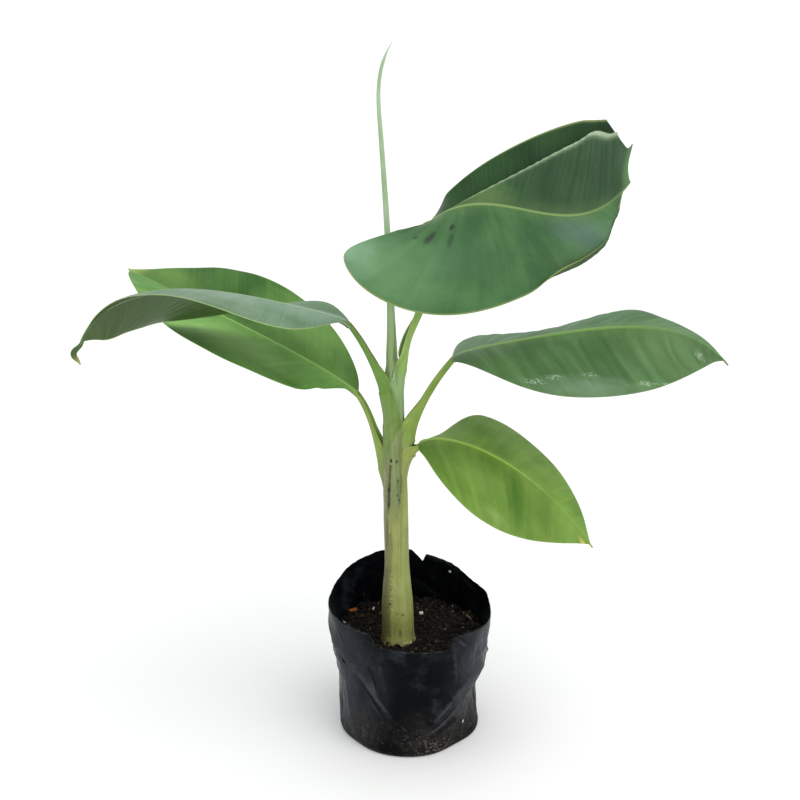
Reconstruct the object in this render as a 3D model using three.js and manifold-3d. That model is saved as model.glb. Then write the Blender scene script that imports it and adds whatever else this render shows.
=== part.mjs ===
import * as THREE from 'three';
import Module from 'manifold-3d';

const wasm = await Module();
wasm.setup();

// A banana sapling in a soft black grow bag, in millimetres and degrees. +Z is up, the bag
// stands on z = 0 about the origin, +X is the viewer's right and the viewer is on the -Y side.

const gap = 0.3; // clear space between neighbouring pieces

const bag = {
  footRadius: 41.5, // flat round underside
  footShift: 1.7, // how far the underside has slid toward the front
  footToward: -70,
  heel: 2, // how far the wall swells out just above the underside
  heelHeight: 3,
  mouthRadius: 49.5,
  mouthHeight: 81, // of the rim at the sides
  rimBack: 13.5, // how much higher it stands at the back
  rimBackPower: 1.9,
  rimSlant: 4, // how far it rises to the left and sinks to the right
  lip: 7, // how far the front stretch is turned down
  lipFrom: -119,
  lipTo: -57,
  lipEdge: 9,
  wall: 1.2,
  crumple: 0.7, // depth of the soft folds in the film
  dents: [ // where the film is pressed in, with half the width and height of each place
    { toward: -8, z: 36, wide: 40, tall: 9, depth: 4.5 },
    { toward: -18, z: 14, wide: 34, tall: 13, depth: 2.6 },
  ],
  around: 44,
  rows: 9,
};

const soil = {
  level: 62.7, // flat seat under the stem
  lump: 1.5, // height of the clods
  clod: 21, // and their usual distance
  seatRadius: 19,
  seatEdge: 12, // over which the clods grow to their height
  around: 36,
  rings: 7,
  walls: 9,
  slack: 0.9, // clear of the pressed-in film
};

const stem = {
  footX: -6.4,
  footY: -10,
  bottom: soil.level + gap,
  top: 246,
  lean: 1.04, // toward the left
  core: 5.65, // radius inside the leaf sheaths
  crown: 226, // height from which the core thins to meet the rolled leaf
  crownThinning: 0.42,
  butt: 2.2, // swelling below the middle
  buttTop: 120,
  buttFull: 80,
  flare: 1.3, // root flare at the soil
  flareFall: 2.5,
  sheath: 0.4, // wall of each leaf sheath
  sheathDrop: 42, // how far a sheath's rim sinks on the side away from its leaf
  sheathSoft: 3,
  around: 26,
  rows: 36,
};

const spear = {
  footX: -10.1, // rolled new leaf, standing in the crown
  footY: -8,
  tip: 423,
  bow: 10, // how far it bows to the left
  hook: 10.2, // how far the tip hooks back to the right
  hookStart: 0.75,
  radius: 1.75,
  collar: 1.6, // extra radius where it leaves the crown
  collarFall: 0.14,
  thinning: 0.85,
  around: 10,
  rows: 22,
};

const petiole = {
  footRadius: 3.5,
  endRadius: 2,
  groove: 0.42, // depth of the channel on the upper side, as a share of the radius
  grooveEnd: 0.15, // share of the length over which it runs out at the blade
  rooted: 24, // how far below its foot the stalk starts inside the stem
  around: 14,
  rows: 13,
  steps: 40, // of the walk from foot to blade
  stepsPerKnot: 4,
};

const blade = {
  thickness: 2,
  keel: 1.8, // midrib standing proud of the underside at the leaf's base
  keelTip: 0.5,
  stub: 1.6, // half width where the blade meets its stalk
  kink: 0.03, // share of the length over which the stalk's last steepness fades from the midrib
  veinStart: 14, // distance from the midrib over which the side veins take up their slant
  rows: 25,
  stepsAcross: 24, // of the walk from midrib to margin
  stepsAlong: 200, // of the walk along the midrib
  waves: 1.8, // rises and falls of a half along the leaf
};

// What one leaf is like when nothing else is said of it. Compass angles turn from +X toward +Y,
// and left and right are seen looking from a leaf's base to its tip.
const plainLeaf = {
  stalkBow: 0, // extra steepness halfway up the stalk
  shortOfBlade: 0.7, // clear space between the stalk's end and the blade
  sag: 0, // dip of the midrib halfway along
  fanning: 1, // power with which the side veins swing forward from base to tip
  foldPower: [1, 1], // and with which the left and the right half take up their fold
  tail: 0.02, // share of the length left for a thread at the tip
  hook: 0, // swing of that thread
  across: [0, 2, 5, 9, 13, 17, 20, 24], // steps from midrib to margin that carry a row of corners
};
const plainHalf = {
  wave: 0,
  neck: 0, // share of the length over which a narrow base widens
  end: 0, // width left at the tip, as a share
  late: 0, // how much of the last third is cut away
};

// The leaves from the oldest up. foot is where the stalk leaves the stem, lean its steepness there,
// stalkEnd that at the blade and stalkBend how close to the blade it bends over. pitch is the steepness
// of the midrib and roll the blade's tilt, each from base to tip. In each half, fold is its rise from
// the midrib, curl the change of that toward the margin, wave its rise and fall along the leaf and vein
// the slant of its side veins; base and tip are the powers of its outline, low for a blunt end and high
// for a fine one. A half with a crest rises to it, drops behind it and spreads again; one with a hem has
// its margin rolled up.
const leaves = {
  lower_right: {
    ...plainLeaf,
    foot: [0.3, -14, 187.7], lean: 27.6, stalk: 7.9, stalkHeading: -26.6, stalkBend: 2.9, stalkEnd: 74,
    heading: -19.3, turn: 0, length: 122, pitch: [46, -52.7], bend: 0.38, roll: [-1.8, 5.9],
    left: {
      ...plainHalf, width: 47.6, fold: [3.4, 0.2], curl: -9.4, wave: -1.5, vein: [-32, 12.7], base: 0.6, tip: 1.02,
      neck: 0.32,
    },
    right: { ...plainHalf, width: 52.2, fold: [-14.3, -9.2], curl: -11.6, vein: [24, 18], base: 0.43, tip: 0.92 },
    color: 0x6f9a3c,
  },
  left_back: {
    ...plainLeaf,
    foot: [-15.3, -4.9, 173.7], lean: 76.8, stalk: 47.3, stalkHeading: 150.3, stalkBend: 2.4, stalkEnd: 51,
    heading: 160, turn: -23.5, length: 180.4, pitch: [51.7, 8.6], bend: 0.22, roll: [-15.7, 12.2], tail: 0.03,
    left: {
      ...plainHalf, width: 54.2, fold: [11.1, 17.8], curl: -7, wave: -2, vein: [-2.7, 13.4], base: 0.84, tip: 1.05,
      neck: 0.15,
    },
    right: { ...plainHalf, width: 45.2, fold: [19.3, 20], curl: -2.8, wave: 1, vein: [14.8, 33.5], base: 0.81, tip: 0.97 },
    color: 0x54803f,
  },
  right: {
    ...plainLeaf,
    foot: [-0.7, -12, 194.3], lean: 81, stalk: 56.6, stalkHeading: -8.2, stalkBend: 0.67, stalkEnd: 51.3,
    heading: -5.8, turn: -39, length: 170, pitch: [15.6, -40], bend: 4.6, roll: [-19, 23],
    left: { ...plainHalf, width: 58, fold: [17, -5.8], curl: -23, wave: 5.5, vein: [-11, 31], base: 0.2, tip: 1.33 },
    right: { ...plainHalf, width: 44, fold: [-1.5, -79.7], curl: -37, wave: 3, vein: [12, 32], base: 0.53, tip: 0.79 },
    color: 0x527a4e,
  },
  left_front: {
    ...plainLeaf,
    foot: [-13.5, -14, 224.5], lean: 69.7, stalk: 45.2, stalkHeading: 187.2, stalkBend: 1.7, stalkEnd: 52.9,
    heading: 183, turn: 2, length: 183.4, pitch: [14.9, -100], bend: 3.36, roll: [-1.5, 61], tail: 0.09, hook: 38,
    left: { ...plainHalf, width: 45, fold: [-8.3, -26.7], curl: -8.5, wave: 1, vein: [-26.4, 30], base: 1.47, tip: 1.96 },
    right: { ...plainHalf, width: 49, fold: [-2.8, -46], curl: -14, wave: 1.5, vein: [30, 61], base: 0.26, tip: 0.78 },
    color: 0x5d7f5c,
  },
  top_right: {
    ...plainLeaf,
    foot: [-3.3, -13, 248.2], lean: 60.1, stalk: 80.9, stalkHeading: -13, stalkBend: 5.6, stalkBow: 33.3, stalkEnd: 38.5,
    shortOfBlade: 1.4,
    heading: -51.4, turn: -11.8, length: 182.5, pitch: [38.5, 47.2], bend: 3.1, sag: 34.8, roll: [17, 39.9],
    fanning: 2.5, foldPower: [1.5, 4.5], tail: 0.002,
    across: [0, 2, 5, 8, 11, 14, 17, 20, 21, 22, 23, 24],
    left: {
      ...plainHalf, width: 66.6, fold: [4.5, 6.7], curl: 12.5, wave: 1, vein: [-4.7, 9.1], base: 0.28, tip: 0.61, end: 0.81,
      crest: {
        at: [-0.18, 0.87], bow: 0.7, drop: 0.31, soft: 0.08, valley: 0.18, softBack: 0.09, grow: 0.12,
        front: 31.7, behind: -95, outer: 52, back: -42,
      },
    },
    right: {
      ...plainHalf, width: 61.2, fold: [11.6, -98.8], curl: 22.5, wave: 3.5, vein: [-45, 42], base: 0.19, tip: 1.27, late: 0.9,
      hem: { rows: [0.4, 0.58, 0.84, 0.97], across: [0.86, 1], turn: 140 },
    },
    color: 0x46704a,
  },
};

const radians = THREE.MathUtils.degToRad;
const { lerp, smoothstep } = THREE.MathUtils;

// Signed volume of a closed skin, which is negative where its faces look inward.
function skinVolume(points, faces) {
  const cross = new THREE.Vector3();
  let volume = 0;
  for (let i = 0; i < faces.length; i += 3) {
    const [a, b, c] = [0, 1, 2].map((k) => points[faces[i + k]]);
    volume += a.dot(cross.crossVectors(b, c)) / 6;
  }
  return volume;
}

// One closed solid through a row of rings with the same number of points, shut by a fan at each end.
function loft(rings) {
  const count = rings[0].length;
  const points = rings.flat();
  const faces = [];
  for (let r = 0; r + 1 < rings.length; r += 1) {
    for (let k = 0; k < count; k += 1) {
      const next = (k + 1) % count;
      const [a, b] = [r * count + k, r * count + next];
      faces.push(a, b, b + count, a, b + count, a + count);
    }
  }
  for (const [row, outward] of [[0, false], [rings.length - 1, true]]) {
    const middle = new THREE.Vector3();
    rings[row].forEach((point) => middle.addScaledVector(point, 1 / count));
    const hub = points.push(middle) - 1;
    for (let k = 0; k < count; k += 1) {
      const [a, b] = [row * count + k, row * count + ((k + 1) % count)];
      faces.push(...(outward ? [hub, a, b] : [hub, b, a]));
    }
  }
  if (skinVolume(points, faces) < 0) faces.reverse();
  const skin = new wasm.Mesh({
    numProp: 3,
    vertProperties: new Float32Array(points.flatMap((point) => point.toArray())),
    triVerts: new Uint32Array(faces),
  });
  return new wasm.Manifold(skin);
}

// What is left of a solid outside the others, without any crumbs that the cut leaves.
function clearOf(solid, others) {
  const rest = others.reduce((left, other) => left.subtract(other), solid);
  return rest.decompose().sort((a, b) => b.volume() - a.volume())[0];
}

function ringOf(count, place) {
  return Array.from({ length: count }, (_, k) => place((2 * Math.PI * k) / count));
}

function polar(radius, angle, z) {
  return new THREE.Vector3(radius * Math.cos(angle), radius * Math.sin(angle), z);
}

// Grow bag: a thin film with a flat underside, soft folds and an uneven rim.

function rimHeight(angle) {
  const back = bag.rimBack * Math.max(0, Math.sin(angle)) ** bag.rimBackPower;
  const turn = THREE.MathUtils.radToDeg(Math.atan2(Math.sin(angle), Math.cos(angle)));
  const past = smoothstep(turn, bag.lipFrom, bag.lipFrom + bag.lipEdge);
  const short = 1 - smoothstep(turn, bag.lipTo - bag.lipEdge, bag.lipTo);
  return bag.mouthHeight + back - bag.rimSlant * Math.cos(angle) - bag.lip * past * short;
}

function footRadius(angle) {
  return bag.footRadius + bag.footShift * Math.cos(angle - radians(bag.footToward));
}

function pressedIn(angle, z) {
  return bag.dents.reduce((sum, { toward, z: middle, wide, tall, depth }) => {
    const turn = angle - radians(toward);
    const aside = THREE.MathUtils.radToDeg(Math.atan2(Math.sin(turn), Math.cos(turn))) / wide;
    return sum + depth * Math.exp(-(aside ** 2) - ((z - middle) / tall) ** 2);
  }, 0);
}

function bagRadius(angle, z) {
  const heel = footRadius(angle) + bag.heel * Math.min(1, z / bag.heelHeight);
  if (z <= bag.heelHeight) return heel;
  const up = (z - bag.heelHeight) / (bag.mouthHeight - bag.heelHeight);
  const folds = Math.sin(5 * angle + 2.5 * up) + 0.6 * Math.sin(3 * angle - 4 * up);
  const fade = smoothstep(up, 0, 0.3);
  return lerp(heel, bag.mouthRadius, up) + bag.crumple * fade * folds - pressedIn(angle, z);
}

function growBag() {
  const rings = [ringOf(bag.around, (angle) => polar(footRadius(angle), angle, 0))];
  const wallRing = (share, inset, floor) => ringOf(bag.around, (angle) => {
    const z = lerp(floor, rimHeight(angle), share);
    return polar(bagRadius(angle, z) - inset, angle, z);
  });
  for (let r = 0; r <= bag.rows; r += 1) rings.push(wallRing(r / bag.rows, 0, bag.heelHeight));
  for (let r = bag.rows; r >= 0; r -= 1) rings.push(wallRing(r / bag.rows, bag.wall, bag.heelHeight));
  rings.push(ringOf(bag.around, (angle) => polar(footRadius(angle) - bag.wall, angle, bag.wall)));
  return loft(rings);
}

// Soil: fills the bag up to its level, with low clods around a flat seat for the stem.

function soilHeight(x, y) {
  const away = Math.hypot(x - stem.footX, y - stem.footY);
  const wave = (distance) => Math.sin((2 * Math.PI * distance) / soil.clod);
  const clods = wave(x + 3) * wave(0.9 * y + 5) + 0.5 * wave(2 * y - 1.3 * x);
  return soil.level + soil.lump * smoothstep(away, soil.seatRadius, soil.seatRadius + soil.seatEdge) * clods;
}

function soilFill() {
  const inset = bag.wall + gap;
  const edge = (angle, z) => bagRadius(angle, z) - inset;
  const underside = bag.wall + gap;
  const rings = [
    ringOf(soil.around, (angle) => polar(footRadius(angle) - inset, angle, underside)),
    ringOf(soil.around, (angle) => polar(edge(angle, bag.heelHeight) - soil.slack, angle, bag.heelHeight + gap)),
  ];
  for (let r = 1; r < soil.walls; r += 1) {
    const z = lerp(bag.heelHeight, soil.level, r / soil.walls);
    rings.push(ringOf(soil.around, (angle) => polar(edge(angle, z) - soil.slack, angle, z)));
  }
  for (let r = soil.rings; r >= 1; r -= 1) {
    rings.push(ringOf(soil.around, (angle) => {
      const spot = polar(((edge(angle, soil.level) - gap) * r) / soil.rings, angle, 0);
      return spot.setZ(soilHeight(spot.x, spot.y));
    }));
  }
  return loft(rings);
}

// Pseudostem: leaf sheaths wrapped around each other, each ending at its own leaf.

function stemAxis(z) {
  const drift = Math.tan(radians(stem.lean)) * (z - stem.bottom);
  return new THREE.Vector3(stem.footX - drift, stem.footY, z);
}

function stemRadius(angle, z) {
  let radius = stem.core * (1 - stem.crownThinning * smoothstep(z, stem.crown, stem.top));
  for (const leaf of Object.values(leaves)) {
    const apart = angle - radians(leaf.stalkHeading);
    const rim = leaf.foot[2] - (stem.sheathDrop * (1 - Math.cos(apart))) / 2;
    radius += stem.sheath * smoothstep(rim - z, -stem.sheathSoft, stem.sheathSoft);
  }
  radius += stem.butt * (1 - smoothstep(z, stem.buttFull, stem.buttTop));
  return radius + stem.flare * Math.exp((stem.bottom - z) / stem.flareFall);
}

function pseudostem(grown = 0) {
  const rings = [];
  for (let r = 0; r <= stem.rows; r += 1) {
    const share = r / stem.rows;
    const z = lerp(stem.bottom, stem.top, share ** 1.25); // rows lie closer at the flare
    const ends = r === stem.rows ? grown : r === 0 ? -grown : 0;
    rings.push(ringOf(stem.around, (angle) => {
      const out = polar(stemRadius(angle, z) + grown, angle, ends);
      return out.add(stemAxis(z));
    }));
  }
  return loft(rings);
}

// Rolled new leaf: a slim tapering roll that bows left and hooks back at its tip.

function spearLeaf() {
  const foot = stem.top + gap;
  const rings = [];
  for (let r = 0; r <= spear.rows; r += 1) {
    const up = r / spear.rows;
    const hooked = Math.max(0, (up - spear.hookStart) / (1 - spear.hookStart)) ** 3;
    const x = spear.footX - spear.bow * up ** 1.5 + spear.hook * hooked;
    const collar = spear.collar * Math.exp(-up / spear.collarFall);
    const radius = spear.radius + collar - spear.thinning * up ** 2;
    const middle = new THREE.Vector3(x, spear.footY, lerp(foot, spear.tip, up));
    rings.push(ringOf(spear.around, (angle) => polar(radius, angle, 0).add(middle)));
  }
  return loft(rings);
}

// Leaves: a stalk that bends over into the midrib, and two half blades that hang from the midrib.

function heading(pitch, compass) {
  const flat = Math.cos(radians(pitch));
  const [x, y] = [Math.cos(radians(compass)), Math.sin(radians(compass))];
  return new THREE.Vector3(flat * x, flat * y, Math.sin(radians(pitch)));
}

// Walks from a start along directions given by a rule, and returns the places that it passes.
function walk(start, length, steps, direction) {
  const places = [start.clone()];
  for (let i = 1; i <= steps; i += 1) {
    const step = direction((i - 1) / steps).add(direction(i / steps)).multiplyScalar(length / steps / 2);
    places.push(places[i - 1].clone().add(step));
  }
  return places;
}

function stalkDirection(leaf, s) {
  const bent = lerp(leaf.lean, leaf.stalkEnd, s ** leaf.stalkBend);
  const pitch = bent + leaf.stalkBow * Math.sin(Math.PI * s);
  return heading(pitch, lerp(leaf.stalkHeading, leaf.heading, s));
}

function ribDirection(leaf, u) {
  const bent = lerp(...leaf.pitch, u ** leaf.bend) - leaf.sag * Math.sin(Math.PI * u);
  const kink = (leaf.stalkEnd - leaf.pitch[0]) * Math.exp(-u / blade.kink);
  const intoTail = Math.max(0, (u - 1 + leaf.tail) / leaf.tail);
  return heading(bent + kink + leaf.hook * Math.sin(2 * Math.PI * intoTail), leaf.heading + leaf.turn * u);
}

function stalkPlaces(leaf) {
  return walk(new THREE.Vector3(...leaf.foot), leaf.stalk, petiole.steps, (s) => stalkDirection(leaf, s));
}

// Stalk: rooted in the stem, round below and channelled above, and ending just short of the blade.
function stalkSolid(leaf, grown = 0) {
  const rootZ = leaf.foot[2] - petiole.rooted;
  const knots = stalkPlaces(leaf).filter((_, i) => i % petiole.stepsPerKnot === 0);
  const path = new THREE.CatmullRomCurve3([stemAxis(rootZ), ...knots]);
  const long = path.getLength();
  const end = 1 - leaf.shortOfBlade / long;
  const rings = [];
  for (let r = 0; r <= petiole.rows; r += 1) {
    const s = (r / petiole.rows) * end;
    const along = path.getTangentAt(s);
    const compass = lerp(leaf.stalkHeading, leaf.heading, s);
    const across = new THREE.Vector3(-Math.sin(radians(compass)), Math.cos(radians(compass)), 0);
    across.addScaledVector(along, -across.dot(along)).normalize();
    const upper = new THREE.Vector3().crossVectors(along, across);
    const middle = path.getPointAt(s);
    rings.push(ringOf(petiole.around, (angle) => {
      const runout = smoothstep(1 - s, 0, petiole.grooveEnd);
      const channel = petiole.groove * Math.max(0, Math.sin(angle)) ** 3 * runout;
      const radius = lerp(petiole.footRadius, petiole.endRadius, s) * (1 - channel) + grown;
      const out = middle.clone().addScaledVector(across, radius * Math.cos(angle));
      return out.addScaledVector(upper, radius * Math.sin(angle));
    }));
  }
  return loft(rings);
}

// Half width of a blade at a share of its length: t^base * (1 - t)^tip, scaled to reach its width.
function halfWidth(leaf, half, u) {
  const t = Math.min(1, u / (1 - leaf.tail));
  const widest = half.base / (half.base + half.tip);
  const shape = (x) => x ** half.base * (1 - x) ** half.tip;
  let body = lerp(shape(t) / shape(widest), smoothstep(t, 0, 0.6), half.end);
  body *= 1 - half.late * smoothstep(t, 0.7, 0.97);
  if (half.neck) body *= smoothstep(t, -0.02, half.neck);
  return Math.max(blade.stub, half.width * body);
}

// How far past its crest a place on a half lies, and how far past the valley behind it.
function crestOver(crest, u, v) {
  const at = lerp(...crest.at, u ** crest.bow) - crest.drop * smoothstep(u, 0.7, 1);
  const back = at + crest.valley;
  const over = smoothstep(v, at - crest.soft, at + crest.soft);
  return [over, smoothstep(v, back - crest.softBack, back + crest.softBack)];
}

// The blade's own left and upward directions at a share of its length, after its roll.
function leafFrame(leaf, u, along) {
  const compass = radians(leaf.heading + leaf.turn * u);
  const level = new THREE.Vector3(-Math.sin(compass), Math.cos(compass), 0);
  const sideways = level.applyAxisAngle(along, radians(lerp(...leaf.roll, u)));
  return { sideways, upward: new THREE.Vector3().crossVectors(along, sideways) };
}

// Places from the midrib to the margin of one half at a share of the leaf's length.
function halfPlaces(leaf, side, u, rib, along) {
  const half = leaf[side];
  const sign = side === 'left' ? 1 : -1;
  const { sideways, upward } = leafFrame(leaf, u, along);
  const early = (power) => 1 - (1 - u) ** power;
  const wave = half.wave * Math.cos(2 * Math.PI * blade.waves * u);
  const fold = lerp(...half.fold, early(leaf.foldPower[sign > 0 ? 0 : 1])) + wave;
  const slant = lerp(...half.vein, early(leaf.fanning));
  const width = halfWidth(leaf, half, u);
  const fine = walk(rib, width, blade.stepsAcross, (v) => {
    let rise = fold + half.curl * v;
    let vein = slant * smoothstep(v * width, 0, blade.veinStart);
    if (half.crest) {
      const { front, behind, outer, back, grow } = half.crest;
      const [over, again] = crestOver(half.crest, u, v);
      rise += (front * (1 - over) + behind * over * (1 - again) + outer * again) * smoothstep(u, 0, grow);
      vein += back * over * smoothstep(u, 0.5, 1);
    }
    if (half.hem) {
      const [from, full, fade, to] = half.hem.rows;
      rise += half.hem.turn * smoothstep(u, from, full) * (1 - smoothstep(u, fade, to)) * smoothstep(v, ...half.hem.across);
    }
    const out = sideways.clone().multiplyScalar(sign * Math.cos(radians(rise)));
    out.addScaledVector(upward, Math.sin(radians(rise)));
    return out.multiplyScalar(Math.cos(radians(vein))).addScaledVector(along, Math.sin(radians(vein)));
  });
  return leaf.across.map((step) => fine[step]);
}

// Blade: a sheet of even thickness with the midrib standing proud as a keel below.
function bladeSolid(leaf) {
  const start = stalkPlaces(leaf).at(-1);
  const ribs = walk(start, leaf.length, blade.stepsAlong, (u) => ribDirection(leaf, u));
  const rows = [];
  const uprights = [];
  for (let i = 0; i <= blade.rows; i += 1) {
    const share = (1 - Math.cos((Math.PI * i) / blade.rows)) / 2; // rows lie closer at both ends
    const step = Math.round(blade.stepsAlong * share);
    const u = step / blade.stepsAlong;
    const along = ribDirection(leaf, u);
    const [left, right] = ['left', 'right'].map((side) => halfPlaces(leaf, side, u, ribs[step], along));
    rows.push([...left.reverse(), ...right.slice(1)]);
    uprights.push(leafFrame(leaf, u, along).upward);
  }
  const count = rows[0].length;
  const rib = (count - 1) / 2;
  const sheet = new THREE.BufferGeometry().setFromPoints(rows.flat());
  const index = [];
  for (let r = 0; r + 1 < rows.length; r += 1) {
    for (let k = 0; k + 1 < count; k += 1) {
      const a = r * count + k;
      index.push(a, a + 1, a + count, a + 1, a + count + 1, a + count);
    }
  }
  sheet.setIndex(index);
  sheet.computeVertexNormals();
  const normals = sheet.getAttribute('normal');
  const halfway = Math.floor(rows.length / 2);
  const turned = new THREE.Vector3().fromBufferAttribute(normals, halfway * count + rib);
  const facing = Math.sign(turned.dot(uprights[halfway]));
  const rings = rows.map((row, r) => {
    const lift = (k, amount) => {
      const normal = new THREE.Vector3().fromBufferAttribute(normals, r * count + k).multiplyScalar(facing);
      const squareToRib = r === 0 || k === rib;
      return row[k].clone().addScaledVector(squareToRib ? uprights[r] : normal, amount);
    };
    const keel = lerp(blade.keel, blade.keelTip, r / (rows.length - 1));
    const top = row.map((_, k) => lift(k, blade.thickness / 2));
    const below = row.map((_, k) => lift(k, -blade.thickness / 2 - (k === rib ? keel : 0)));
    return [...top, ...below.reverse()];
  });
  return loft(rings);
}

// The finished plant: each piece is cut 0.3 clear of those it grows out of.

const plant = new THREE.Group();
plant.name = 'banana_sapling';

function show(name, solid, color, roughness) {
  const { vertProperties, triVerts, numProp } = solid.getMesh();
  const geometry = new THREE.BufferGeometry();
  geometry.setAttribute('position', new THREE.Float32BufferAttribute(vertProperties, numProp));
  geometry.setIndex(Array.from(triVerts));
  geometry.computeVertexNormals();
  const material = new THREE.MeshStandardMaterial({ color, roughness, metalness: 0 });
  const mesh = new THREE.Mesh(geometry, material);
  mesh.name = name;
  plant.add(mesh);
}

show('grow_bag', growBag(), 0x17191c, 0.45);
show('soil', soilFill(), 0x2a211b, 0.95);
show('pseudostem', pseudostem(), 0x93a765, 0.5);
show('spear_leaf', spearLeaf(), 0x9db782, 0.5);

const taken = [pseudostem(gap)];
for (const [name, leaf] of Object.entries(leaves)) {
  show(`petiole_${name}`, clearOf(stalkSolid(leaf), taken), 0x86a05a, 0.5);
  taken.push(stalkSolid(leaf, gap));
}
for (const [name, leaf] of Object.entries(leaves)) {
  show(`blade_${name}`, bladeSolid(leaf), leaf.color, 0.45);
}

export default plant;
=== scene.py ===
import bpy
import numpy as np
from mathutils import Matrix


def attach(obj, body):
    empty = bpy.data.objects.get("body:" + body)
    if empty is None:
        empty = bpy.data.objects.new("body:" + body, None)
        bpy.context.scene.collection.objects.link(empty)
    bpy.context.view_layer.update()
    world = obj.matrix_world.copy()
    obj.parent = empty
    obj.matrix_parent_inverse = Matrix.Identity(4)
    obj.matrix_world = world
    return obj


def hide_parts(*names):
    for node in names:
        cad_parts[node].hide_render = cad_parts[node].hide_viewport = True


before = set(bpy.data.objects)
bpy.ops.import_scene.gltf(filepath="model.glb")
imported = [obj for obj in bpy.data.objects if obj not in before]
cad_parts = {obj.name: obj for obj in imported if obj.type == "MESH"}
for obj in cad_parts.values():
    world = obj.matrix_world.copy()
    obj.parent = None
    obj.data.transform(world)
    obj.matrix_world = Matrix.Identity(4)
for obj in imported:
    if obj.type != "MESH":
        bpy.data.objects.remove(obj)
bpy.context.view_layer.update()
mm = 0.001  # sizes below are millimetres and degrees
print("frame:", len(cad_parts), "nodes")


# small tools for shapes

def lerp(pair, t):
    return pair[0] + (pair[1] - pair[0]) * t


def smooth(x, low, high):
    t = np.clip((x - low) / (high - low), 0, 1)
    return t * t * (3 - 2 * t)


def between(x, a, b, c, d):  # rises from a to b and falls from c to d
    return smooth(x, a, b) * (1 - smooth(x, c, d))


def bell(x):
    return np.exp(-x ** 2)


def cosine(degrees):
    return np.cos(np.radians(degrees))


def sine(degrees):
    return np.sin(np.radians(degrees))


def halfTurn(degrees):  # the same direction, from -180 to 180
    return (degrees + 180) % 360 - 180


def table(*columns):  # values of matching shapes, side by side
    return np.stack(np.broadcast_arrays(*columns), -1)


def polar(radius, degrees, z):
    return table(radius * cosine(degrees), radius * sine(degrees), z)


def heading(pitch, compass):
    return polar(cosine(pitch), compass, sine(pitch))


def unitRows(vectors):
    return vectors / np.maximum(np.linalg.norm(vectors, axis=-1, keepdims=True), 1e-12)


def walk(start, length, directions):
    steps = (directions[1:] + directions[:-1]) / 2 * length / (len(directions) - 1)
    return np.concatenate([[start], start + np.cumsum(steps, 0)])


def eased(path, rounds):  # rounds off a path's bends
    path = path.copy()
    for _ in range(rounds):
        path[1:-1] = (path[:-2] + 2 * path[1:-1] + path[2:]) / 4
    return path


def lumps(x, y, cell, seed):  # smooth random hills, from -1 to 1
    heights = np.random.default_rng(seed).random((64, 64))
    x, y = np.broadcast_arrays(x / cell, y / cell)
    i, j = np.floor(x).astype(int), np.floor(y).astype(int)
    across, along = smooth(x - i, 0, 1), smooth(y - j, 0, 1)
    corner = lambda right, up: heights[(i + right) % 64, (j + up) % 64]
    near = lerp((corner(0, 0), corner(1, 0)), across)
    far = lerp((corner(0, 1), corner(1, 1)), across)
    return 2 * lerp((near, far), along) - 1


def gridFaces(rows, columns, start=0, closed=False):
    r, c = np.meshgrid(np.arange(rows - 1), np.arange(columns - (not closed)), indexing="ij")
    right = (c + 1) % columns
    quads = [r * columns + c, r * columns + right, (r + 1) * columns + right, (r + 1) * columns + c]
    return (np.stack(quads, -1).reshape(-1, 4) + start).tolist()


def addPiece(name, points, faces, material, nodes=(), maps=None):
    mesh = bpy.data.meshes.new(name)
    mesh.from_pydata((np.asarray(points) * mm).tolist(), [], faces)
    corners = np.empty(len(mesh.loops), np.int32)
    mesh.loops.foreach_get("vertex_index", corners)
    for mapName, places in (maps or {}).items():
        layer = mesh.uv_layers.new(name=mapName)
        layer.uv.foreach_set("vector", places[corners].astype(np.float32).ravel())
    mesh.shade_smooth()
    mesh.materials.append(material)
    piece = bpy.data.objects.new(name, mesh)
    bpy.context.scene.collection.objects.link(piece)
    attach(piece, "root")
    if nodes:
        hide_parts(*nodes)
    print("piece:", name, len(mesh.polygons), "faces")


def addTube(name, rings, material, slotName, nodes=(), **maps):  # shut by a fan at each end
    rows, columns = rings.shape[:2]
    hub, top = rows * columns, (rows - 1) * columns
    withHubs = lambda grid: np.concatenate(
        [grid.reshape(-1, grid.shape[-1]), [grid[0].mean(0)], [grid[-1].mean(0)]])
    faces = gridFaces(rows, columns, closed=True)
    for c in range(columns):
        right = (c + 1) % columns
        faces.append([hub, right, c])
        faces.append([hub + 1, top + c, top + right])
    places = {mapName: withHubs(table(*pair)) for mapName, pair in maps.items()}
    addPiece(name, withHubs(rings), faces, material, nodes, places)


# small tools for materials

bench = {}  # holds the node tree that is being wired


def paint(code):  # a screen colour such as 6f9a3c as linear light
    parts = [int(code[i:i + 2], 16) / 255 for i in (0, 2, 4)]
    return [*(c / 12.92 if c <= 0.04045 else ((c + 0.055) / 1.055) ** 2.4 for c in parts), 1.0]


def join(value, socket):
    if isinstance(value, bpy.types.NodeSocket):
        bench["tree"].links.new(value, socket)
    else:
        socket.default_value = value


def put(kind, inputs=None, **settings):
    made = bench["tree"].nodes.new(kind)
    for key, value in settings.items():
        setattr(made, key, value)
    for key, value in (inputs or {}).items():
        join(value, made.inputs[key])
    return made


def calc(operation, *values):
    return put("ShaderNodeMath", dict(enumerate(values)), operation=operation).outputs[0]


def vectorCalc(operation, *values):
    made = put("ShaderNodeVectorMath", dict(enumerate(values)), operation=operation)
    return made.outputs["Value" if operation in ("LENGTH", "DOT_PRODUCT") else "Vector"]


def times(first, *others):
    for value in others:
        first = calc("MULTIPLY", first, value)
    return first


def plus(first, *others):
    for value in others:
        first = calc("ADD", first, value)
    return first


def ramp(value, low, high, start=0.0, end=1.0):
    ends = {"From Min": low, "From Max": high, "To Min": start, "To Max": end}
    made = put("ShaderNodeMapRange", {"Value": value, **ends}, interpolation_type="SMOOTHSTEP")
    return made.outputs["Result"]


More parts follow.
